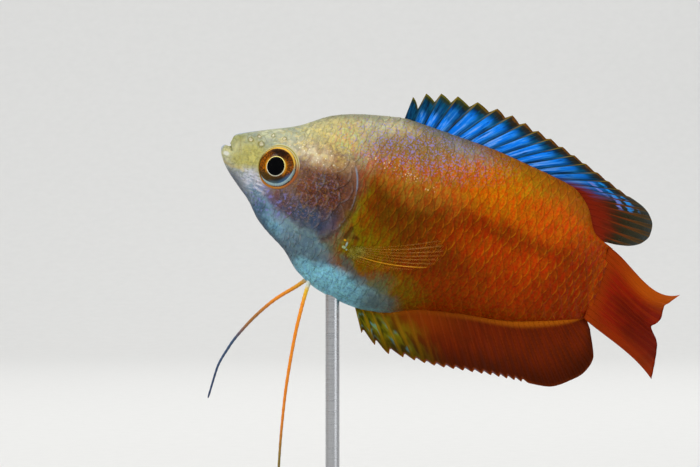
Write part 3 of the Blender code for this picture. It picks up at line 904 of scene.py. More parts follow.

# %% [markdown]
# ## Marks of mouth, fin root and shoulder
#
# The lips are rimmed with a painted bluish highlight, with painted shade just inside the rim, a thin fold
# behind them and a pale sill under the jaw. The armpit has painted shade in the notch over the pectoral
# fin's root and a few painted highlights on the root. A row of painted highlights follows the shoulder, and
# a faint bright arc shows where the rays of the tail fin begin.

# %% Paint on lips, armpit and shoulder
# the line of the notch where painted shade lies, over the pectoral fin's root
ARMPIT_NOTCH = ((21.2, -4.7), (20.8, -6.1))
# painted highlights on the pectoral fin's root
FIN_ROOT_HIGHLIGHTS = (
    # centre along and up, half width, half height, colour
    (21.27, -7, 0.13, 0.34, 142, 172, 164), (21.04, -7.5, 0.26, 0.2, 176, 204, 158),
    (20.84, -6.5, 0.16, 0.14, 226, 160, 10), (21.5, -7.7, 0.12, 0.12, 150, 176, 160),
)
TAIL_ARC_ALONG, TAIL_ARC_CURVE = 56.4, 0.07


def mouth_marks(where, along, up, out, colour):
    """Rims and hearts of the pores, lip fold, jaw sill, painted shade inside the lips and a painted
    highlight along their rim.
    """
    olive, pale = pore_rings(along, up, speckle(where, 0.35, 1))
    fold = line_mask(along, up, LIP_FOLD[1:], 0.16)
    sill = line_mask(along, up, JAW_SILL, 0.3)
    # painted shade on the upper lip's inner side, just behind its rim
    inner = band(calc("ABSOLUTE", out), 1, 1.4, 0.3)
    inner = times(inner, oval(where, 1.4, 1.8, 1.2, 1.3), 0.35)
    spot = oval(where, 0.75, -0.55, 0.42, 0.3, strength=0.7)
    return paint(
        colour, (times(olive, 0.6), 128, 116, 44), (times(pale, 0.7), 226, 214, 186),
        (times(fold, 0.15), 140, 112, 36), (times(sill, 0.35), 196, 170, 90), (inner, 112, 118, 52),
        (spot, 228, 228, 220), (lip_highlight(along, up, out), 164, 186, 238),
    )


def armpit_marks(where, along, up, colour):
    """Painted shade in the notch and painted highlights at the pectoral fin's root, and a row of painted
    highlights over the shoulder.
    """
    # painted shade in the notch
    notch = line_mask(along, up, ARMPIT_NOTCH, 0.5)
    colour = paint(colour, (times(notch, 0.75), 64, 36, 6))
    # painted highlights at the pectoral fin's root
    for a, u, wide, tall, *pigment in FIN_ROOT_HIGHLIGHTS:
        colour = paint(colour, (oval(where, a, u, wide, tall, strength=0.85), *pigment))
    # painted highlights in a row over the shoulder
    highlight_beads = times(highlight_dots(where, 0.34), line_mask(along, up, HIGHLIGHT_ROW, 1.1))
    return paint(colour, (highlight_beads, 224, 190, 146))


def tail_arc(along, up, colour):
    """The faint bright arc at the root of the tail fin."""
    behind = plus(times(up, up, TAIL_ARC_CURVE), TAIL_ARC_ALONG)
    away = calc("ABSOLUTE", minus(along, behind))
    return paint(colour, (fade(away, 0.7, 0.1, 0, 0.3), 176, 84, 6))


print("sparks at the fin's root:", len(FIN_ROOT_HIGHLIGHTS))

# %% [markdown]
# ## All markings in one node group
#
# Skin and scales need the same paint, so it is built once, as a node group. Besides the colour it says how
# pearly, lilac and flame red each place is, which the finishes turn into gleam and painted threads of
# highlight.

# %% The markings' node group
MARKS = {"Colour": "Color", "Pearl": "Float", "Lilac": "Float", "Flame": "Float"}


def head_share(where, along, rim_share, icy):
    """1 on the head, the throat and the belly, 0 where the flame red flank begins."""
    head = most(fade(rim_share, 1.12, 0.98), fade(along, 16, 13))
    corner = oval(where, 15.8, -9.2, 4, 2.6, 0.3)
    return most(head, icy, corner)


def make_markings():
    """The node group that gives the colour of skin and scales at their place on the fish."""
    group = bpy.data.node_groups.new("gourami_markings", "ShaderNodeTree")
    BENCH["tree"] = group
    for name, kind in MARKS.items():
        group.interface.new_socket(name, in_out="OUTPUT", socket_type="NodeSocket" + kind)
    where = read("fish")
    along, up, out = parts_of(where)
    rim_share = gill_edge(along, up)
    icy = oval(where, 18, -12.8, 12, 3.2, 0.25)
    head = head_share(where, along, rim_share, icy)
    cloud = speckle(where, 1.4, 3, 0.6)
    pale = most(fade(along, 9, 6), fade(up, 1.5, 3.5))
    colour = tail_arc(along, up, lay_glazes(where))
    lace = cream_pigment(where, colour, plus(cloud, pale, 0.06))
    colour = blend(head, flame_pigment(where, colour), lace)
    colour = cheek_marks(where, nape_gold(where, cloud, colour))
    colour = gill_light(where, along, up, rim_share, colour)
    soot = times(fade(speckle(where, 0.3), 0.52, 0.64, 0, 0.4), icy)
    colour = paint(outline_shades(along, up, out, colour), (soot, 62, 84, 92))
    colour = mouth_marks(where, along, up, out, colour)
    results = {
        "Colour": armpit_marks(where, along, up, colour),
        "Pearl": most(icy, oval(where, 7, -6.5, 6, 3.5)),
        "Lilac": oval(where, 26, 9.2, 10.5, 3.4, 0.6, 9),
        "Flame": minus(1, head),
    }
    end = group.nodes.new("NodeGroupOutput")
    for name, value in results.items():
        group.links.new(value, end.inputs[name])
    return group


MARKINGS = make_markings()


def markings():
    """The shared markings, inside a material."""
    return node("Group", node_tree=MARKINGS)


print("nodes in the markings:", len(MARKINGS.nodes))

# %% [markdown]
# ## The skin's finish
#
# Before and between the scales the skin is bare, moist and slightly pebbled. A little light passes into it,
# which a small subsurface share gives, and a thin clear coat keeps it wet. The gloss is weak, because the
# scales over it have to give the shine.

# %% Skin material and mesh


def skin_finish():
    """Moist bare skin: finely pebbled, and a little metallic where it is pearly."""
    material, shader = new_finish(
        "moist_skin", Roughness=0.45, Specular_IOR_Level=0.06, Subsurface_Weight=0.08,
        Subsurface_Scale=0.0005, Coat_Weight=0.03, Coat_Roughness=0.25,
    )
    marks = markings()
    pearly = times(marks["Pearl"], 0.3)
    pebble = relief(speckle(read("fish"), 0.22, 3), 0.00006, 0.6)
    feed(shader, Base_Color=marks["Colour"], Metallic=pearly, Normal=pebble)
    return material


def make_skin():
    """The closed skin, with its unwrap: along the fish by round the fish."""
    turns = np.linspace(0, 2 * np.pi, 2 * HALF_RING, endpoint=False)
    along, turn = np.meshgrid(rings, turns, indexing="ij")
    places, _ = skin_places(along, turn)
    count = len(rings)
    share = (rings - rings[0]) / (rings[-1] - rings[0])
    uv = joined(*np.meshgrid(share, turns / (2 * np.pi), indexing="ij")).reshape(-1, 2)
    ends = [places[0].mean(axis=0), places[-1].mean(axis=0)]
    flat = np.vstack([places.reshape(-1, 3), ends])
    uv = np.vstack([uv, [[0, 0.5], [1, 0.5]]])
    faces = grid_faces(count, 2 * HALF_RING, wrap=True)[:, ::-1].tolist()
    ring = np.arange(2 * HALF_RING)
    after = np.roll(ring, -1)
    last, front, rear = (count - 1) * 2 * HALF_RING, len(flat) - 2, len(flat) - 1
    faces += [[front, a, b] for a, b in zip(after.tolist(), ring.tolist())]
    faces += [[rear, last + a, last + b] for a, b in zip(ring.tolist(), after.tolist())]
    return make_piece("gourami_skin", flat, faces, skin_finish(), uv, "trunk_skin")


skin = make_skin()
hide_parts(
    "head", "upper_jaw", "lower_jaw", "gill_cover_left", "gill_cover_right", "trunk", "tail_stem"
)

# %% [markdown]
# ## A lattice for the scales
#
# Scales sit in rows along the fish, each shifted by half a scale against the next, like roof tiles. Along
# the flank there are some twenty-seven, smaller towards the head and the tail. So the lattice counts scales
# along the body through a pitch that changes, and measures rows as real distance round it. The skin is
# sampled once on such a grid, and every point of every scale is then looked up in it.

# %% The skin, unrolled
ROUND_STEP, ROUND_REACH = 0.12, 27
PITCH = ((3, 0.72), (8, 0.9), (13, 1.1), (19, 1.4), (24, 1.46), (48, 1.4), (57.5, 0.85))
ROW = ((3, 0.62), (8, 0.8), (13, 1.02), (19, 1.4), (24, 1.56), (46, 1.56), (57.5, 1))
pitch, row_width = smooth_line(PITCH), smooth_line(ROW)
round_marks = np.arange(-ROUND_REACH, ROUND_REACH, ROUND_STEP)


def unroll_skin():
    """Place, normal and turn of the left skin on a grid of along by distance round the body."""
    turns = np.linspace(-OVERHANG, np.pi + OVERHANG, 2 * HALF_RING)
    along, turn = np.meshgrid(rings, turns, indexing="ij")
    places, normal = skin_places(along, turn, hollow=False)
    plain = body_places(along, turn)
    runs = np.linalg.norm(np.diff(plain, axis=1), axis=-1)
    walked = np.concatenate([np.zeros((len(rings), 1)), np.cumsum(runs, axis=1)], axis=1)
    table = np.concatenate([places, normal, turn[..., None]], axis=-1)
    unrolled = np.empty((len(rings), len(round_marks), table.shape[-1]))
    for i in range(len(rings)):
        axis_at = np.interp(0, -plain[i, :, 1], walked[i])
        for k in range(table.shape[-1]):
            unrolled[i, :, k] = np.interp(-round_marks, walked[i] - axis_at, table[i, :, k])
    return unrolled


unrolled_skin = unroll_skin()


def on_skin(along, round_it):
    """Place, normal and turn of the left skin at these places along and round the body."""
    i = np.clip(np.interp(along, rings, np.arange(len(rings))), 0, len(rings) - 1.001)
    j = np.clip((round_it - round_marks[0]) / ROUND_STEP, 0, len(round_marks) - 1.001)
    i0, j0 = i.astype(int), j.astype(int)
    di, dj = (i - i0)[..., None], (j - j0)[..., None]
    near = unrolled_skin[i0, j0] * (1 - dj) + unrolled_skin[i0, j0 + 1] * dj
    far = unrolled_skin[i0 + 1, j0] * (1 - dj) + unrolled_skin[i0 + 1, j0 + 1] * dj
    found = near * (1 - di) + far * di
    beyond = np.maximum(0, along - TAIL_ROOT)
    found[..., 0] += beyond
    return found[..., :3], unit(found[..., 3:6]), found[..., 6]


print("skin sampled on a grid of", unrolled_skin.shape[:2])

# %% [markdown]
# ## Where scales might sit
#
# The lattice steps along the body and counts how many scales have passed. Those on gill cover and cheek are
# larger for their place, so they get a wider lattice of their own.

# %% The lattices
FINE_STEP, MOST_ROWS = 0.05, 26
CHEEK_SIZE = 1.45


def lattice(size=1):
    """Along and round of every place where a scale might sit."""
    fine = np.arange(SNOUT, TAIL_ROOT + 1, FINE_STEP)
    count = np.cumsum(FINE_STEP / (pitch(fine) * size))
    rows = np.arange(-MOST_ROWS, MOST_ROWS + 1)
    number, row = np.meshgrid(np.arange(int(count[-1]) + 1), rows, indexing="ij")
    along = np.interp(number + 0.5 * (row % 2), count, fine)
    return along.ravel(), (row * row_width(along) * size).ravel()


FLANK_LATTICE = lattice()
CHEEK_LATTICE = lattice(size=CHEEK_SIZE)
print("lattice places:", len(FLANK_LATTICE[0]), "and", len(CHEEK_LATTICE[0]))

# %% [markdown]
# ## One scale
#
# A scale is a thin horny plate. Its front is buried in the skin, its rear edge is round and free, and it
# lies at a slant, so that its rear edge covers the front of the next one. The slant alone makes hundreds of
# them overlap in the right order. Each plate is a closed solid.

# %% Scale shape
SCALE_ACROSS, SCALE_DOWN = 8, (0, 0.34, 0.58, 0.77, 0.91, 1)
PLATE_FRONT, PLATE_REAR, PLATE_ROUND = -1.15, 0.55, 0.95  # in pitches from the scale's place


def scale_plate():
    """Shares down and across the plate, outline and slant for a pitch and row width of 1, and faces."""
    across = np.linspace(-1, 1, SCALE_ACROSS + 1)
    down = np.array(SCALE_DOWN)
    d, c = np.meshgrid(down, across, indexing="ij")
    side = np.sin(c * np.pi / 2)
    rim = PLATE_REAR - PLATE_ROUND * (1 - np.sqrt(np.maximum(0, 1 - side ** 2)))
    x = PLATE_FRONT + d * (rim - PLATE_FRONT)
    slant = (x - PLATE_FRONT) / (PLATE_REAR - PLATE_FRONT)
    faces = grid_faces(len(down), len(across))
    size = d.size
    edge = np.concatenate([
        np.arange(len(across)), np.arange(2 * len(across) - 1, size, len(across)),
        np.arange(size - 2, size - len(across) - 1, -1), np.arange(size - 2 * len(across), 0, -len(across)),
    ])
    after = np.roll(edge, -1)
    sides = joined(edge, after, after + size, edge + size)
    closed = np.concatenate([faces[:, ::-1], faces + size, sides[:, ::-1]])
    return d.ravel(), c.ravel(), x.ravel(), side.ravel(), slant.ravel(), closed


plate_down, plate_across, plate_x, plate_side, plate_slant, plate_faces = scale_plate()
print("one scale:", len(plate_down) * 2, "points,", len(plate_faces) * 2, "triangles")

# %% [markdown]
# ## A coat of scales
#
# Hundreds of plates are laid in one go, as arrays: each point of each plate is looked up on the skin and
# lifted along its normal. A few hundredths of a millimetre of straying keep the rows from looking printed.
# The map for baking gives each scale a small patch at its root's place on the skin's own unwrap.

# %% Laying the scales
SCALE_THICK, SCALE_BURIED, SCALE_DOME = 0.035, 0.05, 0.04
FLATTER = 0.4  # the share of its slant that a scale loses on nape and breast
LEAST_SLANT = SCALE_BURIED + 0.035  # less would leave the rear edge under the skin
FULL_PITCH = 1.45
ROW_OVERLAP = 1.12
SLANT_STRAY = 0.03
BAKE_PATCH = 0.003


def slant_kept(along, up):
    """How much of its slant a scale keeps: less on the nape and the breast."""
    breast = step(up, -8, -10.5) * step(along, 31, 25)
    nape = step(along, 21, 13)
    return 1 - FLATTER * np.maximum(breast, nape)


def facing_out(places, faces):
    """The faces, turned over if the closed surface that they make is inside out."""
    a, b, c = (places[faces[:, k]] for k in (0, 1, 2))
    volume = np.einsum("ij,ij->", a, np.cross(b, c))
    if faces.shape[1] == 4:
        volume += np.einsum("ij,ij->", a, np.cross(c, places[faces[:, 3]]))
    return faces if volume > 0 else faces[:, ::-1]


def scale_coat(name, along, round_it, side, material, seed, lift, size, stray):
    """One joined mesh of scales on one side. Stray is how far, in mm, they are off their lattice."""
    random = np.random.default_rng(seed)
    count = len(along)
    along = along + random.normal(0, stray, count)
    round_it = round_it + random.normal(0, stray / 2, count)
    grown = size * (1 + random.normal(0, stray / 2, count))
    length, width = pitch(along) * grown, row_width(along) * ROW_OVERLAP * grown
    lean = random.normal(0, stray, count)
    x = plate_x[None, :] * length[:, None]
    y = plate_side[None, :] * width[:, None]
    x, y = x - y * lean[:, None], y + x * lean[:, None]
    roots, _, turn = on_skin(along, round_it)
    slant = lift * slant_kept(roots[:, 0], roots[:, 1]) * length / FULL_PITCH
    slant = np.maximum(LEAST_SLANT, slant)
    rise = slant[:, None] * (plate_slant[None, :] + random.normal(0, SLANT_STRAY, count)[:, None])
    rise = rise - SCALE_BURIED - SCALE_DOME * plate_side[None, :] ** 2
    places, normal, _ = on_skin(along[:, None] + x, round_it[:, None] + y)
    top = places + normal * rise[..., None]
    under = places + normal * (rise - SCALE_THICK)[..., None]
    points = np.concatenate([top, under], axis=1).reshape(-1, 3) * (1, 1, side)
    own = joined(plate_down, plate_across, random.random(count)[:, None])
    own = np.concatenate([own, own], axis=1).reshape(-1, 3)
    each = len(plate_down) * 2
    faces = (plate_faces[None] + (np.arange(count) * each)[:, None, None]).reshape(-1, 4)
    root_u = (along - rings[0]) / (rings[-1] - rings[0])
    root_v = np.mod(turn / (2 * np.pi) * side, 1)
    uv_u = root_u[:, None] + (np.tile(plate_down, 2) - 0.5)[None, :] * BAKE_PATCH
    uv_v = root_v[:, None] + np.tile(plate_across, 2)[None, :] * BAKE_PATCH / 2
    uv = joined(uv_u, uv_v).reshape(-1, 2)
    return make_piece(name, points, facing_out(points, faces), material, uv, "trunk_skin", scale=own)


print("a scale is", SCALE_THICK, "mm thick and rises by at least", round(LEAST_SLANT, 3), "mm")

# %% [markdown]
# ## The scales' finish
#
# Each scale is painted darker where it comes out from under the last one, a painted shade. On the flank it
# has a painted highlight on its rear edge, a bright thread, and those threads make the oblique streaks in
# the photo. On head and belly the rear edge is pale instead, and on the gill cover one scale is rustier, the
# next more violet. Over the shoulder lie lilac grains. All this follows a point's place on its scale and the
# scale's own random number.

# %% Scale paint
LILAC = (146, 138, 216)


def scale_paint(marks, where, down, across, chance):
    """The markings with what each scale adds: painted shade at its root with a random tone, a painted
    highlight on its rear edge, pale rim and lilac grains.
    """
    cloud = speckle(where, 0.9)
    bare = minus(1, marks["Flame"])
    # painted shade where the scale comes out from under the last one, times a random tone for each scale
    start = plus(0.88, bare, -0.09)
    shade = times(fade(down, 0.4, 0.85, start, 1.04), fade(chance, 0, 1, 0.9, 1.1))
    colour = node("VectorMath", {0: marks["Colour"], "Scale": shade}, operation="SCALE")[0]
    hind = oval(where, 45, 3, 17, 9, 0.6)
    # a painted highlight: a bright thread on the rear edge of the flank scales
    thread = times(fade(down, 0.87, 0.96), band(across, -0.5, 0.05, 0.25), marks["Flame"])
    thread = times(thread, fade(cloud, 0.36, 0.62, 0.1, 1), fade(hind, 0, 1, 0.25, 1))
    colour = paint(colour, (thread, blend(0.27, colour, tone(244, 146, 8), "SCREEN")))
    mosaic = times(oval(where, 14, -3, 6.2, 5.4, 0.3), bare, 0.7)
    colour = paint(colour, (mosaic, tinted(colour, chance, (1.3, 0.84, 0.72), (0.66, 0.9, 1.2))))
    rim = times(fade(down, 0.84, 0.97), bare, fade(cloud, 0.38, 0.62, 0, 0.9))
    rim = times(rim, fade(marks["Pearl"], 0, 1, 1, 0.3))
    pale = fade(speckle(where, 1.6, 1), 0.42, 0.58)
    pale = blend(pale, tone(206, 170, 140), tone(150, 172, 186))
    colour = paint(colour, (rim, blend(0.18, colour, pale, "SCREEN")))
    grains = fade(speckle(where, 0.26, 1, 0.3), 0.52, 0.61)
    grains = times(grains, marks["Lilac"], fade(cloud, 0.3, 0.6, 0.15, 0.65))
    return paint(colour, (grains, *LILAC))


def scale_finish():
    """Enamel for scales: metallic on the flame red flank, less so on throat and belly."""
    material, shader = new_finish(
        "scale_enamel", Specular_IOR_Level=0.02, Coat_Weight=0.02, Coat_Roughness=0.2,
        Subsurface_Weight=0.05, Subsurface_Scale=0.0004,
    )
    where = read("fish")
    down, across, chance = parts_of(read("scale"))
    marks = markings()
    colour = scale_paint(marks, where, down, across, chance)
    rays = node("TexWave", {"Vector": read("scale"), "Scale": 5}, bands_direction="Y")[1]
    metal = times(plus(marks["Flame"], marks["Pearl"]), 0.25)
    rough = fade(speckle(where, 1.2), 0.3, 0.7, 0.5, 0.4)
    bumps = relief(rays, 0.00003, 0.35)
    feed(shader, Base_Color=colour, Roughness=rough, Metallic=metal, Normal=bumps)
    return material


enamel = scale_finish()
print("scales are finished in", enamel.name)

# %% [markdown]
# ## Laying the coats
#
# Lips, forehead and chin are bare, and so is a band round the eye. Small scales cover the body behind the
# gill cover, the nape, the throat and the breast, and larger ones the gill cover and the cheek. Each region
# is a test on along and up. Left and right get a mesh each, from the same lattice.

# %% Coats on flank and cheek


def on_flank(along, up, gill, off_eye):
    """Where the small scales sit: on the body behind the gill cover, the nape, the throat and the breast."""
    behind = (along > GILL_ALONG) | (gill > 0.9)
    nape_front = 9.6 + 0.25 * np.maximum(0, 7 - up)
    front = np.where(up > 2, nape_front, np.where(up > -7.5, 99, 8.5))
    front = np.where((up <= 2) & (along > 15.5), 0, front)
    return (gill > -0.25) & behind & (along > front) & (off_eye > 3.6)


def on_cheek(along, up, gill, off_eye):
    """Where the larger scales sit: on the gill cover and on the cheek before it."""
    cover = gill < -0.9
    cheek = (gill >= -0.9) & (along < 13) & (along > 5.2) & (up < 1.5) & (up > -6.8)
    return (cover | cheek) & (off_eye > 3.9)


def places_on(lattice, region):
    """The places of a lattice that lie on the left side and in a region."""
    along, round_it = lattice
    places, _, turn = on_skin(along, round_it)
    a, u = places[:, 0], places[:, 1]
    off_eye = np.hypot(a - EYE_ALONG, u - EYE_UP)
    on_side = (turn > -0.02) & (turn < np.pi + 0.02) & (along < TAIL_ROOT - 0.2)
    chosen = on_side & region(a, u, gill_distance(a, u), off_eye)
    return along[chosen], round_it[chosen]


SIDES = ((1, "left"), (-1, "right"))
COATS = (
    # name, lattice, region, first seed, lift of the rear edge, size against the pitch, straying
    ("flank_scales", FLANK_LATTICE, on_flank, 5, 0.115, 1, 0.03),
    ("cheek_scales", CHEEK_LATTICE, on_cheek, 15, 0.15, 1.3, 0.12),
)
for label, places, region, seed, lift, size, stray in COATS:
    along, round_it = places_on(places, region)
    for side, word in SIDES:
        coat = scale_coat(f"{label}_{word}", along, round_it, side, enamel, seed + side, lift, size, stray)
        print(coat.name, "has", len(along), "scales")

# %% [markdown]
# ## The eyes
#
# The eye is the sharpest thing in the photo: a black pupil in a thread of pale gold, an amber iris that is
# darker above, and a slate-blue lower rear corner with a painted white highlight. It is turned like a lathe
# piece: a lens that bulges slightly through the pupil, the iris, and the ball behind.

# %% Profile of the eyeball
PUPIL, PUPIL_RING = 1.25, 1.37
LENS_RISE, LENS_FALL, IRIS_RISE = 0.1, 0.06, 0.05


def ball_depth(reach):
    """How far the eyeball stands out at this distance from its middle, flatter than a ball."""
    return EYE_HALF_DEPTH * math.sqrt(max(0, 1 - (reach / EYE_RADIUS) ** 2.6))


EYE_PROFILE = (
    # distance from the middle and depth, in mm: the lens, the iris, the bare ball and its back
    [(PUPIL * k / 8, EYE_HALF_DEPTH + LENS_RISE - LENS_FALL * (k / 8) ** 2) for k in range(9)]
    + [(r, ball_depth(r) + IRIS_RISE) for r in (1.27, 1.33, 1.4, 1.5, 1.65, 1.8, 1.95, 2.1, 2.25, 2.4)]
    + [(r, ball_depth(r)) for r in (2.5, 2.58, 2.64, 2.69, 2.73, 2.75)]
    + [(EYE_RADIUS * math.cos(a), -EYE_HALF_DEPTH * math.sin(a)) for a in np.radians(np.linspace(10, 90, 9))]
)
print("points along the eye's profile:", len(EYE_PROFILE))

# %% [markdown]
# ## Paint of the iris
#
# The iris is made of fine fibres that run out from the pupil. Noise looked up by angle and distance gives
# them, dark and amber, with a glow beside the pupil. Then come the dark brow above, the dim floor below, the
# slate corner with its painted highlight, the golden rim, and the pale ring and black of the pupil on top of
# all.

# %% Iris and pupil


def iris_amber(threads, grains, slope, across, up, reach):
    """Amber fibres, brightest before and behind the pupil, a dark brow and a dim floor."""
    amber = blend(fade(threads, 0.4, 0.62), tone(60, 34, 4), tone(146, 80, 4))
    wings = calc("ABSOLUTE", plus(across, times(up, 0.25)))
    glow = times(fade(reach, 1.72, 1.42), fade(wings, 0.9, 1.35, 0, 0.85), 0.8)
    shade = times(fade(slope, 0.4, 1.6), fade(reach, 2.55, 1.9, 0.2, 0.55))
    brow = times(oval(read("iris"), -0.15, 1.85, 1.25, 0.5, 0.5), fade(threads, 0.35, 0.6, 1, 0.8))
    orange, umber = fade(grains, 0.5, 0.62, 0, 0.6), fade(grains, 0.46, 0.36, 0, 0.6)
    floor = fade(up, -0.7, -1.5, 0, 0.85)
    return paint(
        amber, (orange, 186, 96, 8), (umber, 46, 30, 8), (glow, 222, 146, 16), (shade, 40, 18, 6),
        (brow, 20, 14, 10), (floor, 58, 46, 14),
    )


def iris_corner(colour, threads, across, up, reach):
    """The slate lower rear corner with a painted white highlight, and a painted highlight on the rear rim.
    """
    corner = minus(times(across, 0.7), up)
    slate = blend(fade(reach, 1.7, 2.35), tone(26, 28, 28), tone(84, 112, 122))
    azure = times(fade(across, 0.6, 1.4), fade(reach, 1.8, 2.2), 0.6)
    slate = paint(slate, (azure, 40, 92, 150))
    # a painted white highlight in the slate corner
    gleam = fade(minus(reach, fade(corner, 0.6, 2.4, 2.42, 2.22)), 0, 0.09)
    gleam = times(gleam, fade(corner, 0.2, 1.5), fade(threads, 0.3, 0.6, 0.6, 1))
    # a painted highlight on the eye's rear rim
    rear_rim_highlight = times(band(reach, 2.46, 2.52, 0.05), fade(across, 1.6, 2.3), 0.8)
    in_corner = fade(corner, 1.5, 2.3, 0, 0.9)
    return paint(colour, (in_corner, slate), (gleam, 172, 204, 210), (rear_rim_highlight, 150, 176, 166))


def eye_finish():
    """Glossy paint for the eyeball, from its rim to the pupil."""
    material, shader = new_finish(
        "eye_glass", Roughness=0.3, Specular_IOR_Level=0.03, Coat_Weight=0.07, Coat_Roughness=0.03,
    )
    across, up, reach = parts_of(read("iris"))
    angle = calc("ARCTAN2", up, across)
    fibre = node("CombineXYZ", {0: times(angle, 9), 1: reach, 2: 0})[0]
    threads, grains = speckle(fibre, 0.5, 4, 0.7), speckle(read("iris"), 0.22)
    slope = plus(up, across, 0.05)
    colour = iris_amber(threads, grains, slope, across, up, reach)
    colour = iris_corner(colour, threads, across, up, reach)
    crescent = fade(plus(up, across, 0.6), 1, 2.2, 0, 0.08)
    rim = times(fade(plus(reach, crescent), 2.44, 2.54), fade(slope, 0.2, 1.4))
    ring = fade(plus(reach, threads, 0.05), PUPIL_RING + 0.03, PUPIL_RING - 0.01)
    cream = blend(fade(up, -1, 0.8), tone(226, 222, 196), tone(250, 234, 140))
    black = fade(reach, PUPIL + 0.02, PUPIL - 0.02)
    colour = paint(colour, (rim, 244, 194, 78), (ring, cream), (black, 1, 1, 2))
    feed(shader, Base_Color=colour, Normal=relief(threads, 0.00005, 0.5))
    return material


eye_glass = eye_finish()
print("eyes are painted with", len(eye_glass.node_tree.nodes), "nodes")

# %% [markdown]
# ## The ring round the eye
#
# A raised ring of skin holds the eyeball. It is golden under the eye and rusty behind it, and over the eye
# a pale double line runs along it. At its outer edge it takes the skin's own colour, so that it seems to
# grow out of the head.

# %% Paint of the ring
PALE_LINES = (2.72, 3.02)  # mm from the eye's middle


def ring_finish():
    """Gold and rust, two pale lines above, and the skin's markings where the ring ends."""
    material, shader = new_finish(
        "orbit_gold", Roughness=0.4, Specular_IOR_Level=0.2, Coat_Weight=0.1, Coat_Roughness=0.15
    )
    across, up, reach = parts_of(read("iris"))
    low = fade(plus(up, across, -0.4), 0.2, -1.8)
    colour = blend(low, tone(158, 142, 62), tone(166, 100, 10))
    rusty = times(fade(across, 1.2, 2.4), fade(up, 2, 0.6), 0.8)
    colour = paint(colour, (rusty, 150, 76, 34))
    for line in PALE_LINES:
        pale = times(band(reach, line - 0.04, line + 0.04, 0.06), fade(up, 0, 1.6), 0.75)
        colour = paint(colour, (pale, 216, 214, 166))
    outer = plus(reach, fade(up, 0, -2), 0.12)
    outer = plus(outer, fade(across, -1, -2.4), 0.22)
    colour = paint(colour, (fade(outer, 3, 3.14), markings()["Colour"]))
    grain = speckle(read("fish"), 0.12)
    feed(shader, Base_Color=colour, Normal=relief(grain, 0.00004, 0.5))
    return material


orbit_gold = ring_finish()
print("ring finish:", orbit_gold.name)

# %% [markdown]
# ## Turning the eyes
#
# Each piece is a short profile taken once round. The eyeball looks a little forward and is a little taller
# than wide, as in the photo. The ring lies on the flank of the head, wherever that is at each point, so its
# profile only says how high it stands over the skin.

# %% Eyeballs and their rings
EYE_LOOKS_FORWARD = math.radians(10.5)
EYE_TURNS, EYE_TALL, EYE_PIVOT = 72, 1.07, 0.4
RING_FRONT = ((2.56, -0.28), (2.64, 0.03), (2.76, 0.15), (2.9, 0.13), (3.06, 0.02), (3.3, -0.12))
RING_STEPS, RING_BACK_STEPS, RING_UNDER = 20, 6, -0.45


def flank(along, up):
    """How far out the bare skin is at this height."""
    level, inset = widest_level(along), coat_depth(along)
    reach = np.where(up > level, back(along) - level, level - belly(along)) - inset
    bulge = np.maximum(0, 1 - ((up - level) / reach) ** 2)
    return (half_width(along) - inset) * bulge ** (keel(along) / 2)


def turned(name, reach, places_at, material, slot, closed=False):
    """A profile taken once round the eye. It stores across, up and distance from the middle of the eye."""
    turn = np.linspace(0, 2 * np.pi, EYE_TURNS, endpoint=False)[None, :]
    across, up = reach * np.cos(turn), reach * np.sin(turn)
    places = places_at(across, up).reshape(-1, 3)
    iris = joined(across, up, reach).reshape(-1, 3)
    faces = grid_faces(len(reach), EYE_TURNS, wrap=True)
    if closed:
        first = np.arange(EYE_TURNS)
        last = (len(reach) - 1) * EYE_TURNS + first
        seam = joined(last, first, np.roll(first, -1), np.roll(last, -1))
        faces = np.concatenate([faces, seam])
    return make_piece(name, places, facing_out(places, faces), material, slot=slot, iris=iris)


def make_eye(side, word):
    """The eyeball, turned from its profile, and the ring of skin round it."""
    reach, depth = (np.array([mark[k] for mark in EYE_PROFILE])[:, None] for k in (0, 1))
    ahead, aside = math.cos(EYE_LOOKS_FORWARD), math.sin(EYE_LOOKS_FORWARD)

    def on_ball(across, up):
        along = EYE_ALONG + across * ahead - (depth - EYE_PIVOT) * aside
        out = side * (EYE_OUT + depth * ahead + across * aside)
        return joined(along, EYE_UP + up * EYE_TALL, out)

    ball = turned(f"eyeball_{word}", reach, on_ball, eye_glass, f"eye_{word}_look")
    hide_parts(f"eye_{word}")
    inner, outer = RING_FRONT[0][0], RING_FRONT[-1][0]
    front = np.linspace(inner, outer, RING_STEPS)
    rim = np.concatenate([front, np.linspace(outer, inner, RING_BACK_STEPS)])[:, None]
    height = np.interp(front, *zip(*RING_FRONT))
    height = np.concatenate([height, np.full(RING_BACK_STEPS, RING_UNDER)])[:, None]

    def on_head(across, up):
        along, level = EYE_ALONG + across, EYE_UP + up * EYE_TALL
        return joined(along, level, side * (flank(along, level) + height))

    turned(f"orbit_ring_{word}", rim, on_head, orbit_gold, "head_skin", closed=True)


for side, word in SIDES:
    make_eye(side, word)

# %% [markdown]
# ## Fins, ray by ray
#
# A fin is a thin web over rays. The front rays of the dorsal and anal fin are stiff spines, whose tips
# stick out of the web and make a saw edge. The soft rays behind them fork. A fin here is a closed sheet
# over a grid of ray by length: its thickness swells to a rod on every ray, and its length drops between
# spines. Each point stores its ray number and its share of the ray, which the paint then follows.

# %% Sheets with rays
RAY_SAMPLES = (0, 0.045, 0.09, 0.14, 0.24, 0.38, 0.52, 0.66, 0.78, 0.86, 0.91, 0.955)
FIN_LEVELS = 34
FORK_SPREAD, FORK_START = 0.16, 0.45  # share of the gap between rays, and of their length
ALL_FORKED = -1  # the number of the last ray that doesn't fork
WEB_HALF = 0.05  # half the thickness of a web, in mm


def ray_columns(table):
    """Ray positions for the columns of a fin, close together beside each ray of its table."""
    last = table[-1][0]
    return np.array([ray + share for ray in range(last) for share in RAY_SAMPLES] + [float(last)])


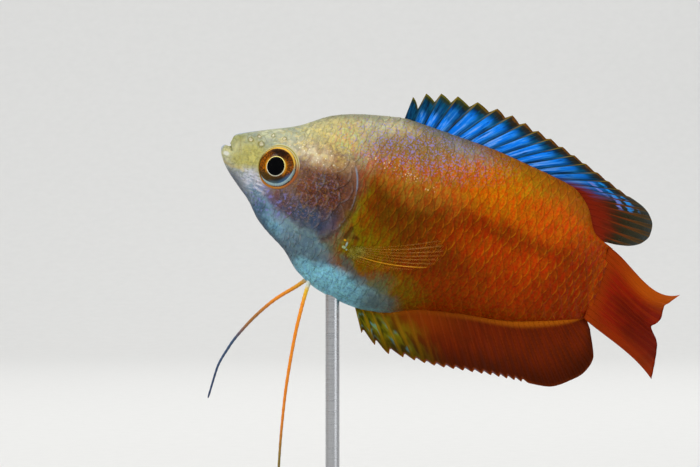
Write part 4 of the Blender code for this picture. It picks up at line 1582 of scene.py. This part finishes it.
def saw_edge(ray, spines, notch, deepest, roundness):
    """Share of full length at the fin's edge: 1 at a ray, lowest a part of the way to the next spine."""
    number = np.floor(ray + 1e-9)
    share = ray - number
    dip = np.where(share < deepest, share / deepest, (1 - share) / (1 - deepest))
    return 1 - notch(number) * dip ** roundness * (number < spines)


def rod_profile(ray, share, spacing, root_radius, tip_radius, web, forks_from):
    """Half the fin's thickness: a rod on every ray, forked in its outer part, and a thin web between."""
    off = (ray - np.round(ray)) * spacing
    fork = np.where(ray > forks_from, FORK_SPREAD * spacing * step(share, FORK_START, 1), 0)
    away = np.minimum(np.abs(off - fork), np.abs(off + fork))
    radius = root_radius + (tip_radius - root_radius) * share
    return web + np.sqrt(np.maximum(0, radius ** 2 - away ** 2))


def fin_piece(name, table, middle, thickness, material, slot, node_name):
    """A closed thin sheet round the fin's middle surface, which replaces a node of the frame."""
    ray, share = np.meshgrid(ray_columns(table), np.linspace(0, 1, FIN_LEVELS), indexing="ij")
    places = middle(ray, share)
    half = thickness(ray, share)
    out = np.zeros_like(places)
    out[..., 2] = half
    count = ray.size
    flat = np.concatenate([(places + out).reshape(-1, 3), (places - out).reshape(-1, 3)])
    grid = np.arange(count).reshape(ray.shape)
    edge = np.concatenate([grid[:-1, 0], grid[-1, :-1], grid[:0:-1, -1], grid[0, :0:-1]])
    after = np.roll(edge, -1)
    sides = joined(edge, edge + count, after + count, after)
    sheet = grid_faces(*ray.shape)
    faces = facing_out(flat, np.concatenate([sheet, sheet[:, ::-1] + count, sides[:, ::-1]]))
    own = joined(ray, share, np.zeros_like(ray)).reshape(-1, 3)
    piece = make_piece(name, flat, faces, material, slot=slot, ray=np.concatenate([own, own]))
    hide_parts(node_name)


print("columns between two rays:", len(RAY_SAMPLES))

# %% [markdown]
# ## Painting along the rays
#
# The paint of a fin asks two things: how near a ray a place is, and how far along it. Noise that is
# stretched along the rays gives streaks. The red fins share their last step, a satin gleam and a fine grain
# that follow those streaks.

# %% Paint helpers for fins
RED_FIN = {"Roughness": 0.45, "Specular_IOR_Level": 0.03, "Coat_Weight": 0.02, "Coat_Roughness": 0.2}


def web_finish(name, **gloss):
    """A fin's material, put on the bench, its shader, and the ray and share of the ray at each point."""
    material, shader = new_finish(name, **gloss)
    ray, share, _ = parts_of(read("ray"))
    return material, shader, ray, share


def off_ray(ray):
    """How far a place is from its nearest ray, from 0 on the ray to 0.5 halfway to the next."""
    return calc("PINGPONG", ray, 0.5)


def streaked(ray, share, across, length, detail=2, rough=0.5):
    """Noise in streaks along the rays: how many there are to a ray across, and how many down its length."""
    seat = node("CombineXYZ", {0: times(ray, across), 1: times(share, length), 2: 0})[0]
    return speckle(seat, 1, detail, rough)


def red_ground(ray, share, deep, light, patches, clouded):
    """Streaks of two reds along the rays with darker clouds over them, and the streaks' own pattern."""
    streaks = streaked(ray, share, 5, 2.4, 3, 0.6)
    return blend(patches, blend(fade(streaks, 0.3, 0.7), deep, light), clouded), streaks


def feed_red_fin(shader, colour, streaks):
    """Joins a red fin's colour, with the gleam and grain that follow its streaks."""
    gleam = fade(streaks, 0.4, 0.7, 0.1, 0.3)
    feed(shader, Base_Color=colour, Metallic=gleam, Normal=relief(streaks, 0.00005, 0.5))


print("gloss of the red fins:", RED_FIN)

# %% [markdown]
# ## The dorsal fin
#
# Sixteen spines and nine soft rays stand on the back. Each row of the table is a ray: its number, where its
# root is along the back, and where its tip is, along and up. Smooth lines fill in the rays between. The web
# billows a little to either side, as wet skin between rods does.

# %% Shape of the dorsal fin
DORSAL_RAYS = (
    (0, 23, 23.1, 16), (1, 24.4, 24.7, 17.1), (3, 27.5, 29.1, 18.25), (5, 30.8, 35, 18.5),
    (8, 35.9, 41.6, 17.5), (12, 42.6, 49.7, 15.4), (15, 47.4, 55.6, 13.6), (18, 50.4, 60.3, 12.2),
    (20, 51.8, 62, 10.2), (21, 52.5, 62.1, 9), (22, 53.2, 61.4, 7.6), (23, 54, 59.7, 6.5),
    (24, 55.2, 57.8, 6),
)
DORSAL_SPINES = 16
ROOT_SUNK = 0.5  # mm that a fin's root lies under the back or belly line


def median_fin(rows, spines, notch, deepest, roundness, line, sunk):
    """The middle surface of a fin that stands on the back or belly line."""
    root_along, tip_along, tip_up = (smooth_line(rows, k) for k in (1, 2, 3))

    def middle(ray, share):
        length = share * saw_edge(ray, spines, notch, deepest, roundness)
        root = joined(root_along(ray), line(root_along(ray)) + sunk)
        tip = joined(tip_along(ray), tip_up(ray))
        flat = root + (tip - root) * length[..., None]
        billow = 0.10 * np.sin(2 * np.pi * (ray - 0.1)) * share + 0.12 * np.sin(ray * 0.7) * share ** 2
        return joined(flat[..., 0], flat[..., 1], billow)

    return middle


def dorsal_notch(ray):
    """How deep the saw edge is cut behind each spine, as a share of the spine: deepest at the front."""
    return 0.32 * np.exp(-ray / 0.6) + 0.17 * np.exp(-((ray / 6) ** 2)) + 0.035


def dorsal_thickness(ray, share):
    """Spines at the front, thinner forked rays behind."""
    radius = 0.15 - 0.04 * step(ray, 14, 20)
    return rod_profile(ray, share, 1.35, radius, 0.06, WEB_HALF, DORSAL_SPINES - 0.5)


dorsal_middle = median_fin(DORSAL_RAYS, DORSAL_SPINES, dorsal_notch, 0.88, 1.1, back, -ROOT_SUNK)
print("longest dorsal spine tip at", max(row[3] for row in DORSAL_RAYS), "mm up")

# %% [markdown]
# ## Paint of the dorsal fin
#
# The webs shine blue: one long streak in each, over a dark teal ground, with horn-coloured spines between
# and a rusty fringe along the saw edge. In the first webs only the foot is blue. Behind, the streaks break
# up. Noise along the rays does all this better than an image would, as it has no pixels to show.

# %% Blue webs and rusty fringe


def dorsal_webs(ray, share):
    """The blue webs between the spines, and how blue each place is."""
    streaks = streaked(ray, share, 5, 1.8, 3, 0.65)
    patches = streaked(ray, share, 1.2, 3.2)
    dark = blend(fade(streaks, 0.35, 0.7), tone(2, 24, 36), tone(3, 78, 112))
    ends = plus(share, streaks, 0.3)
    body = times(fade(ends, 0.98, 0.78), fade(off_ray(ray), 0.02, 0.1))
    front = fade(calc("FRACT", ray), 0.85, 0.5, 0.2, 1)
    low = times(fade(share, 0.62, 0.28), fade(ray, 0.7, 1.8))
    early = most(fade(ray, 1.8, 5, 0.05, 1), low)
    broken = fade(plus(streaks, patches), 0.75, 0.93, 0.35, 1)
    blueness = times(body, front, early, broken, fade(ray, 9.5, 15.5, 1, 0.45))
    azure = blend(fade(streaks, 0.42, 0.6), tone(6, 122, 244), tone(34, 150, 255))
    core = times(fade(streaks, 0.5, 0.64), fade(share, 0.85, 0.3), front)
    return paint(dark, (blueness, paint(azure, (core, 118, 170, 255)))), blueness


def dorsal_fringe(web, ray, share):
    """The rusty edge and the spines, which pale towards their tips."""
    cloud = streaked(ray, share, 3, 8)
    deep = plus(share, cloud, 0.1)
    behind = fade(ray, 3, 6)
    dusk = blend(behind, tone(44, 50, 10), tone(44, 34, 10))
    rust = blend(behind, tone(104, 96, 12), tone(112, 66, 6))
    spine = times(fade(off_ray(ray), 0.07, 0.02), fade(share, 0.2, 0.8, 0.1, 0.7))
    horn = blend(fade(share, 0.55, 0.95), tone(40, 62, 62), tone(142, 116, 24))
    margin, edge = fade(deep, 0.86, 0.95, 0, 0.85), fade(deep, 0.985, 1.02, 0, 0.8)
    return paint(web, (margin, dusk), (edge, rust), (spine, horn))


print("webs between dorsal spines:", DORSAL_SPINES - 1)

# %% [markdown]
# ## The rear of the dorsal fin
#
# The rounded rear lobe is smoky with rusty rays and blue spots, and the root before it is deep red. It is
# painted over the webs. The blue gleams like metal, and the lobe lets a little light through.

# %% Rear lobe and dorsal fin


def dorsal_lobe(web, ray, share):
    """The soft rear lobe, from its red root over smoky olive to the blue spots."""
    aside = off_ray(ray)
    cloud = streaked(ray, share, 2.5, 6, 1)
    rear = fade(plus(ray, share, 2), 16.5, 19)
    smoke = blend(fade(share, 0.2, 0.75), tone(50, 26, 6), tone(44, 42, 22))
    smoke = paint(smoke, (fade(share, 0.8, 1, 0, 0.7), 56, 62, 62))
    fork = fade(share, FORK_START, 1, 0, FORK_SPREAD)
    rods = fade(calc("ABSOLUTE", minus(aside, fork)), 0.16, 0.03, 0, 0.85)
    rusty = blend(fade(share, 0.4, 1), tone(116, 46, 4), tone(84, 60, 22))
    in_ray = plus(times(share, 6), calc("FLOOR", ray), 0.37)
    dots = fade(calc("PINGPONG", plus(in_ray, cloud), 0.5), 0.2, 0.34)
    dots = times(dots, fade(aside, 0.08, 0.22), band(ray, 14.6, 18.4, 0.8))
    dots = times(dots, band(share, 0.56, 0.8, 0.08), fade(cloud, 0.35, 0.5, 0.3, 1))
    ice = blend(fade(share, 0.7, 0.6), tone(34, 146, 234), tone(116, 128, 206))
    worn = plus(share, cloud, 0.35)
    red = times(fade(ray, 13, 16.5), fade(worn, 0.74, 0.3))
    return paint(web, (rear, blend(rods, smoke, rusty)), (dots, ice), (red, 120, 27, 2)), rear


def dorsal_finish():
    """The three layers, gleaming where the web is blue, and slightly clear in the lobe."""
    material, shader, ray, share = web_finish(
        "dorsal_web", Roughness=0.4, Specular_IOR_Level=0.05, Coat_Weight=0.02, Coat_Roughness=0.2
    )
    web, blueness = dorsal_webs(ray, share)
    web = dorsal_fringe(web, ray, share)
    colour, rear = dorsal_lobe(web, ray, share)
    clear = times(rear, fade(share, 0.35, 0.8), fade(off_ray(ray), 0.06, 0.2))
    grain = streaked(ray, share, 6, 3, 3)
    feed(
        shader, Base_Color=colour, Metallic=times(blueness, 0.3),
        Alpha=plus(1, clear, -0.1), Normal=relief(grain, 0.00006, 0.5),
    )
    return material


dorsal_web = dorsal_finish()
fin_piece(
    "dorsal_fin_web", DORSAL_RAYS, dorsal_middle, dorsal_thickness, dorsal_web, "dorsal_web", "dorsal_fin"
)

# %% [markdown]
# ## The anal fin
#
# It mirrors the dorsal fin under the belly, with seventeen spines and fifteen soft rays. The shape comes
# from the same function as the dorsal fin's, so only its table, its notches and its rods are new.

# %% Shape of the anal fin
ANAL_RAYS = (
    (0, 25.2, 27.5, -18.2), (1, 26.3, 29.9, -19.2), (2, 27.5, 32.2, -19.75), (3, 28.9, 34.3, -19.5),
    (6, 33.8, 38.9, -19.1), (9, 37.6, 43, -18.4), (12, 41.4, 47, -17.7), (16, 45.6, 51.5, -17.1),
    (20, 48.6, 55.4, -16.5), (24, 51.3, 58.2, -14.6), (27, 53.3, 59.8, -12.7), (29, 54.7, 60.3, -10.7),
    (31, 57.1, 58.4, -6.7),
)
ANAL_SPINES = 17


def anal_notch(ray):
    """How deep the saw edge is cut behind each spine."""
    return 0.2 * np.exp(-((ray / 2.6) ** 2)) + 0.055


def anal_thickness(ray, share):
    """Spines at the front and forked rays behind, all thinner than the dorsal ones."""
    return rod_profile(ray, share, 1.05, 0.13, 0.05, WEB_HALF, ANAL_SPINES - 0.5)


anal_middle = median_fin(ANAL_RAYS, ANAL_SPINES, anal_notch, 0.3, 1.2, belly, ROOT_SUNK)
print("deepest anal ray tip at", min(row[3] for row in ANAL_RAYS), "mm up")

# %% [markdown]
# ## Paint of the anal fin
#
# Its front is olive yellow with icy spots between the first spines. The rest is deep red, darker towards
# the edge, with faintly lighter rays, a gold band along the rear half of the root and a rusty hem on the
# saw edge.

# %% Anal paint and fin


def anal_front(web, ray, share):
    """Olive webs, yellow spines and icy spots in the front webs, fading into the red."""
    aside = off_ray(ray)
    lean = plus(ray, share, -2.4)
    cloud = streaked(ray, share, 2, 4)
    front = fade(plus(lean, cloud, -2), 5, 0.2)
    ground = blend(fade(cloud, 0.35, 0.65), tone(56, 56, 3), tone(106, 98, 5))
    olive = blend(fade(aside, 0.28, 0.04), ground, tone(128, 102, 4))
    spots = streaked(ray, share, 1.2, 3.4, 1)
    icy = times(fade(spots, 0.5, 0.66, 0, 0.75), band(aside, 0.14, 0.46, 0.12))
    icy = times(icy, fade(lean, 3, 1.6), fade(share, 0.92, 0.8), fade(share, 0.1, 0.3))
    ice = blend(fade(cloud, 0.4, 0.6), tone(84, 146, 150), tone(120, 144, 56))
    return paint(web, (front, olive), (icy, ice))


def anal_hem(web, ray, share):
    """The dark outer part, the rusty hem of the saw edge, and the grey light between its teeth."""
    outer = fade(share, 0.45, 0.95, 0, 0.62)
    hem = times(fade(share, 0.93, 0.99), fade(ray, 19, 15, 0.12, 0.6))
    grey = times(fade(share, 0.96, 0.995), fade(off_ray(ray), 0.2, 0.4), fade(ray, 17, 15), 0.6)
    return paint(web, (outer, 44, 13, 1), (hem, 130, 56, 4), (grey, 84, 104, 130))


def anal_finish():
    """The red web with its jointed rays, then its front, its hem and its golden root."""
    material, shader, ray, share = web_finish("anal_web", **RED_FIN)
    where = read("fish")
    along = parts_of(where)[0]
    patches = fade(speckle(where, 2.6), 0.42, 0.68, 0, 0.6)
    web, streaks = red_ground(ray, share, tone(90, 24, 1), tone(110, 32, 1), patches, tone(82, 25, 1))
    gold = fade(plus(along, share, -4), 33, 27, 0, 0.6)
    warm = times(fade(share, 0.7, 0.05), fade(along, 44, 33, 0, 0.8))
    joints = fade(calc("PINGPONG", times(share, 16), 0.5), 0.1, 0.3, 0.5, 1)
    rod = times(fade(off_ray(ray), 0.3, 0.05), joints, fade(along, 40, 50, 0.25, 0.5))
    web = paint(web, (gold, 126, 72, 3), (warm, 148, 60, 2), (rod, 128, 44, 1))
    web = anal_hem(anal_front(web, ray, share), ray, share)
    root = times(fade(share, 0.16, 0.06), fade(along, 34, 52, 0.2, 0.8))
    feed_red_fin(shader, paint(web, (root, 196, 104, 8)), streaks)
    return material


fin_piece("anal_fin_web", ANAL_RAYS, anal_middle, anal_thickness, anal_finish(), "anal_web", "anal_fin")

# %% [markdown]
# ## The tail fin
#
# The tail fin is half closed and swings away behind. It is the strongest red of all, shaded in its lower
# middle, with an orange upper lobe and a warm root. Each row of its table is a ray: its number, how high
# its root is, where its tip is, along and up, and how much the ray bows. At the root the sheet swells to
# the thickness of the tail stem, so that no step shows.

# %% Tail fin
TAIL_RAYS = (
    (0, 5.35, 69.75, 2.45, -1.6), (1, 4.45, 68.6, 0.9, -1.2), (2, 3.54, 67.95, 0, -0.9),
    (3.5, 2.2, 68.15, -1.7, -0.5), (4.5, 1.3, 67.6, -2.8, -0.35), (5.5, 0.4, 67.1, -3.3, -0.2),
    (8, -1.9, 68.9, -5.4, 0), (10, -3.7, 69.6, -8, 0.2), (12, -5.5, 70, -10.6, 0.5),
)


def tail_middle(ray, share):
    """Rays that fan out from the tail stem in shallow folds."""
    root_up, tip_along, tip_up, bow = (smooth_line(TAIL_RAYS, k)(ray) for k in (1, 2, 3, 4))
    start = TAIL_ROOT - 0.6
    along = start + (tip_along - start) * share
    bulge = 6.75 * share ** 2 * (1 - share)  # 0 at both ends, 1 two thirds of the way out
    up = root_up + (tip_up - root_up) * share + bow * bulge
    fold = 0.14 * np.sin(2 * np.pi * ray) * share + 0.10 * np.sin(ray * 1.1) * share
    return joined(along, up, fold)


def tail_thickness(ray, share):
    """Thin rods and web, thickened at the root."""
    body = 0.85 * step(share, 0.42, 0)
    return body + rod_profile(ray, share, 1 + 0.4 * share, 0.14, 0.05, WEB_HALF, ALL_FORKED)


def tail_finish():
    """The red streaks and lighter rays, then the lobes and the root over them."""
    material, shader, ray, share = web_finish("tail_web", **RED_FIN)
    patches = fade(speckle(read("fish"), 3), 0.4, 0.7, 0, 0.6)
    web, streaks = red_ground(ray, share, tone(132, 22, 1), tone(158, 32, 1), patches, tone(108, 22, 1))
    rod = fade(off_ray(ray), 0.3, 0.05, 0, 0.3)
    upper = times(fade(ray, 3.4, 0.8), fade(share, 0.15, 0.7, 0.35, 0.9))
    shade = times(band(ray, 6.5, 9, 2.5), fade(share, 0.2, 0.6, 0, 0.6))
    lower, root = fade(ray, 9, 12, 0, 0.5), fade(share, 0.25, 0.05, 0, 0.9)
    web = paint(web, (rod, 166, 56, 2), (upper, 190, 84, 3), (shade, 84, 16, 1))
    feed_red_fin(shader, paint(web, (lower, 150, 58, 2), (root, 150, 52, 2)), streaks)
    return material


fin_piece("tail_fin_web", TAIL_RAYS, tail_middle, tail_thickness, tail_finish(), "tail_web", "tail_fin")

# %% [markdown]
# ## The pectoral fins
#
# A living gourami fans these all the time. The fan stands off the body from a small fleshy root, so its
# middle surface starts on the flank and flares away from it, with its rays rippling the web.

# %% Shape of the pectoral fins
PECTORAL_RAYS = ((0, 33.6, -1.9), (2, 34.6, -3.2), (5, 33.9, -5.4), (7, 31.4, -7.2), (9, 27.8, -8.5))
PECTORAL_ROOT, PECTORAL_ROOT_HEIGHT = (21.8, -7.8), 1.6
PECTORAL_FLARE = math.tan(math.radians(13))


def pectoral_middle(side):
    """The middle surface of a fan that flares away from the flank."""
    tip_along, tip_up = (smooth_line(PECTORAL_RAYS, k) for k in (1, 2))
    rays = PECTORAL_RAYS[-1][0]

    def middle(ray, share):
        start_up = PECTORAL_ROOT[1] + PECTORAL_ROOT_HEIGHT * (0.5 - ray / rays)
        start_out = flank(np.full(ray.shape, PECTORAL_ROOT[0]), start_up) - 0.2
        scallop = 1 - 0.03 * np.sin(np.pi * (ray % 1)) ** 2
        length = share * scallop
        along = PECTORAL_ROOT[0] + (tip_along(ray) - PECTORAL_ROOT[0]) * length
        up = start_up + (tip_up(ray) - start_up) * length - 0.5 * np.sin(np.pi * share)
        reach = np.hypot(tip_along(ray) - PECTORAL_ROOT[0], tip_up(ray) - start_up)
        root_out = float(flank(np.array(PECTORAL_ROOT[0]), np.array(PECTORAL_ROOT[1])))
        out = start_out + (root_out + reach * PECTORAL_FLARE - start_out) * length
        ripple = 0.12 * np.sin(2 * np.pi * ray) * share
        return joined(along, up, side * (out + ripple))

    return middle


def pectoral_thickness(ray, share):
    """Hair-thin rays in the finest web, thickened at the root."""
    root = 0.25 * step(share, 0.12, 0)
    return root + rod_profile(ray, share, 0.25 + 0.9 * share, 0.08, 0.03, WEB_HALF / 2, ALL_FORKED)


print("the fans flare out by", round(PECTORAL_FLARE, 2), "mm for each mm of length")

# %% [markdown]
# ## Paint of the pectoral fins
#
# The web is clear as water, so that only ten fine rays show over the flank. They are tan, and one low ray
# is bright gold. Instead of glass, which renders slowly and exports badly, the web has a very low alpha.

# %% Pectoral fins
GOLDEN_RAY, CLEAREST = 6, 0.04


def pectoral_finish():
    """Tan rays, one golden, and a fleshy root. Everything between them is clear."""
    material, shader, ray, share = web_finish(
        "pectoral_web", Roughness=0.3, Specular_IOR_Level=0.15, Coat_Weight=0.05, Coat_Roughness=0.15
    )
    rod = fade(off_ray(ray), 0.17, 0.05)
    golden = fade(calc("ABSOLUTE", minus(ray, GOLDEN_RAY)), 0.5, 0.2)
    mottle = speckle(read("fish"), 0.5)
    flesh = blend(fade(mottle, 0.35, 0.65), tone(120, 108, 22), tone(150, 138, 50))
    colour = paint(tone(160, 102, 10), (golden, 206, 140, 8), (fade(share, 0.3, 0.1), flesh))
    strength = most(times(golden, 0.9), fade(share, 0.1, 0.6, 0.6, 0.42))
    line = times(rod, strength, fade(share, 1, 0.7, 0.35, 1))
    fleshy = times(fade(share, 0.34, 0.04, 0, 0.6), band(ray, 1.2, 7.6, 1.2))
    fleshy = times(fleshy, fade(mottle, 0.3, 0.6, 0.4, 1))
    solid = most(line, fleshy)
    feed(shader, Base_Color=colour, Alpha=most(solid, CLEAREST))
    return material


pectoral_web = pectoral_finish()
for side, word in SIDES:
    fin_piece(
        f"pectoral_fan_{word}", PECTORAL_RAYS, pectoral_middle(side), pectoral_thickness, pectoral_web,
        f"pectoral_{word}_web", f"pectoral_fin_{word}",
    )

# %% [markdown]
# ## The feelers
#
# The pelvic fins of a gourami are two long threads that it feels and tastes with. Each is a tube along a
# smooth curve, a little knotted, and blunt at its tip. A curve object with a bevel would make such a tube
# too, but in a grid each point can store its share of the length, and the paint needs that.

# %% Shape of the feelers
LEFT_FEELER = (
    (18, -13.4, 0.7), (18.1, -15.5, 1), (18.5, -20, 1.5), (19.8, -28, 1.6), (21.3, -34.5, 1.2),
    (23.1, -41, 0.7), (25.9, -50, 0.2),
)
RIGHT_FEELER = (
    (17.8, -13.3, -0.7), (16.6, -15, -2.3), (14, -18.3, -5.6), (11.5, -23, -10.8),
    (10, -27.2, -15.4), (9.3, -31.2, -19.8), (9.4, -36, -25),
)
FEELER_STATIONS, FEELER_SIDES = 220, 14
THREAD_ROOT, THREAD_TIP = 0.33, 0.15  # radius in mm
KNOT_SWELL, KNOT_BEAT = 0.05, 190
BLUNT_END = (0.9, 0.75, 0.5, 0.15)


def feeler_radius(share):
    """The thread's radius: swollen at the root, slightly knotted, and blunt at the tip."""
    radius = THREAD_ROOT + (THREAD_TIP - THREAD_ROOT) * share ** 0.8
    radius = radius * (1 + KNOT_SWELL * np.sin(share * KNOT_BEAT)) * (1 + 0.5 * bump(share, 0.03))
    radius[-len(BLUNT_END):] *= BLUNT_END
    return radius


def make_feeler(word, path, material):
    """A closed tube along a smooth curve through the places in the path."""
    marks = [(i / (len(path) - 1), *place) for i, place in enumerate(path)]
    share = np.linspace(0, 1, FEELER_STATIONS + 1)
    middle = joined(*(smooth_line(marks, k)(share) for k in (1, 2, 3)))
    ahead = unit(np.gradient(middle, axis=0))
    across = unit(np.cross(ahead, (0.2, 0.1, 1)))
    beside = np.cross(ahead, across)
    turn = np.linspace(0, 2 * np.pi, FEELER_SIDES, endpoint=False)
    ring = across[:, None] * np.cos(turn)[None, :, None] + beside[:, None] * np.sin(turn)[None, :, None]
    places = middle[:, None] + ring * feeler_radius(share)[:, None, None]
    own = np.zeros(places.shape)
    own[..., 1] = share[:, None]
    flat = places.reshape(-1, 3)
    faces = facing_out(flat, grid_faces(FEELER_STATIONS + 1, FEELER_SIDES, wrap=True))
    root = list(range(FEELER_SIDES))
    tip = [corner + FEELER_STATIONS * FEELER_SIDES for corner in root]
    flipped = faces[0, 1] != FEELER_SIDES
    ends = [root[::-1], tip] if flipped else [root, tip[::-1]]
    name, slot = f"feeler_thread_{word}", f"feeler_{word}_look"
    thread = make_piece(name, flat, faces.tolist() + ends, material, slot=slot, ray=own.reshape(-1, 3))
    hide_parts(f"pelvic_feeler_{word}")


print("knots down a feeler:", round(KNOT_BEAT / (2 * math.pi)))

# %% [markdown]
# ## Paint of the feelers
#
# The thread to the viewer is icy at its root, orange for most of its length and blue at its tip. The other
# one turns blue earlier. A colour ramp node could hold such bands, but a row of soft steps, each a share of
# the length and a colour, is shorter to write and to change.

# %% Both feelers
THREAD_COLOURS = {
    "left": (
        (0, 176, 200, 204), (0.07, 196, 204, 190), (0.15, 226, 180, 30), (0.26, 236, 138, 14),
        (0.62, 226, 128, 16), (0.8, 130, 110, 40), (0.95, 48, 92, 110),
    ),
    "right": (
        (0, 196, 190, 150), (0.12, 216, 150, 24), (0.3, 236, 138, 14), (0.46, 170, 110, 40),
        (0.62, 44, 78, 116), (1, 26, 58, 104),
    ),
}


def feeler_finish(name, bands):
    """A thread's paint: bands of a share of its length and a colour, with a fine grain."""
    material, shader = new_finish(name, Roughness=0.4, Specular_IOR_Level=0.3, Coat_Weight=0.1)
    share = parts_of(read("ray"))[1]
    colour = tone(*bands[0][1:])
    for (start, *_), (end, *pigment) in zip(bands, bands[1:]):
        colour = paint(colour, (fade(share, start, end), *pigment))
    grain = speckle(read("fish"), 0.3)
    colour = blend(0.35, colour, fade(grain, 0.3, 0.7, 0.3, 0.7), "OVERLAY")
    feed(shader, Base_Color=colour, Normal=relief(grain, 0.00004, 0.5))
    return material


for word, path in (("left", LEFT_FEELER), ("right", RIGHT_FEELER)):
    make_feeler(word, path, feeler_finish(f"{word}_thread", THREAD_COLOURS[word]))

# %% [markdown]
# ## The stand
#
# Base, rod and collar keep their solids from the frame and only get a finish. The base is a dark hardwood,
# cut along the grain and oiled. The rod and collar are brushed steel. Wood and brush marks are both noise
# in drawn out space, which needs no unwrap and so shows no seam.

# %% Stand finishes
WOOD_GRAIN, WOOD_FIGURE = (60, 700, 700), (14, 120, 120)  # patches in a metre along x, y and z
BRUSH_MARKS = (300, 300, 9000)


def drawn_out(crowding):
    """The object's own places, stretched so that noise runs in strands."""
    where = node("TexCoord")["Object"]
    return node("Mapping", {"Vector": where, "Scale": crowding})[0]


def wood_finish():
    """Oiled walnut: a broad figure with a fine dark grain along it."""
    material, shader = new_finish("oiled_walnut", Coat_Weight=0.2, Coat_Roughness=0.25)
    grain = speckle(drawn_out(WOOD_GRAIN), 1, 6, 0.6)
    waves = {"Vector": drawn_out(WOOD_FIGURE), "Scale": 1, "Distortion": 6, "Detail": 3}
    figure = node("TexWave", waves, bands_direction="Y")[1]
    colour = blend(figure, tone(58, 36, 24), tone(92, 60, 40))
    colour = paint(colour, (fade(grain, 0.35, 0.65, 0, 0.7), 40, 24, 16))
    rough = fade(grain, 0.3, 0.7, 0.5, 0.36)
    feed(shader, Base_Color=colour, Roughness=rough, Normal=relief(grain, 0.0001, 0.4))
    return material


def steel_finish():
    """Steel with fine brush marks round it."""
    material, shader = new_finish("brushed_rod", Metallic=1)
    brush = speckle(drawn_out(BRUSH_MARKS), 1, 3)
    colour = blend(brush, tone(170, 171, 173), tone(200, 201, 203))
    rough = fade(brush, 0.3, 0.7, 0.26, 0.4)
    feed(shader, Base_Color=colour, Roughness=rough, Normal=relief(brush, 0.00003, 0.3))
    return material


steel = steel_finish()
for name, finish in (("stand_base", wood_finish()), ("stand_rod", steel), ("stand_collar", steel)):
    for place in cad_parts[name].material_slots:
        place.material = finish
    print(name, "is now", finish.name)
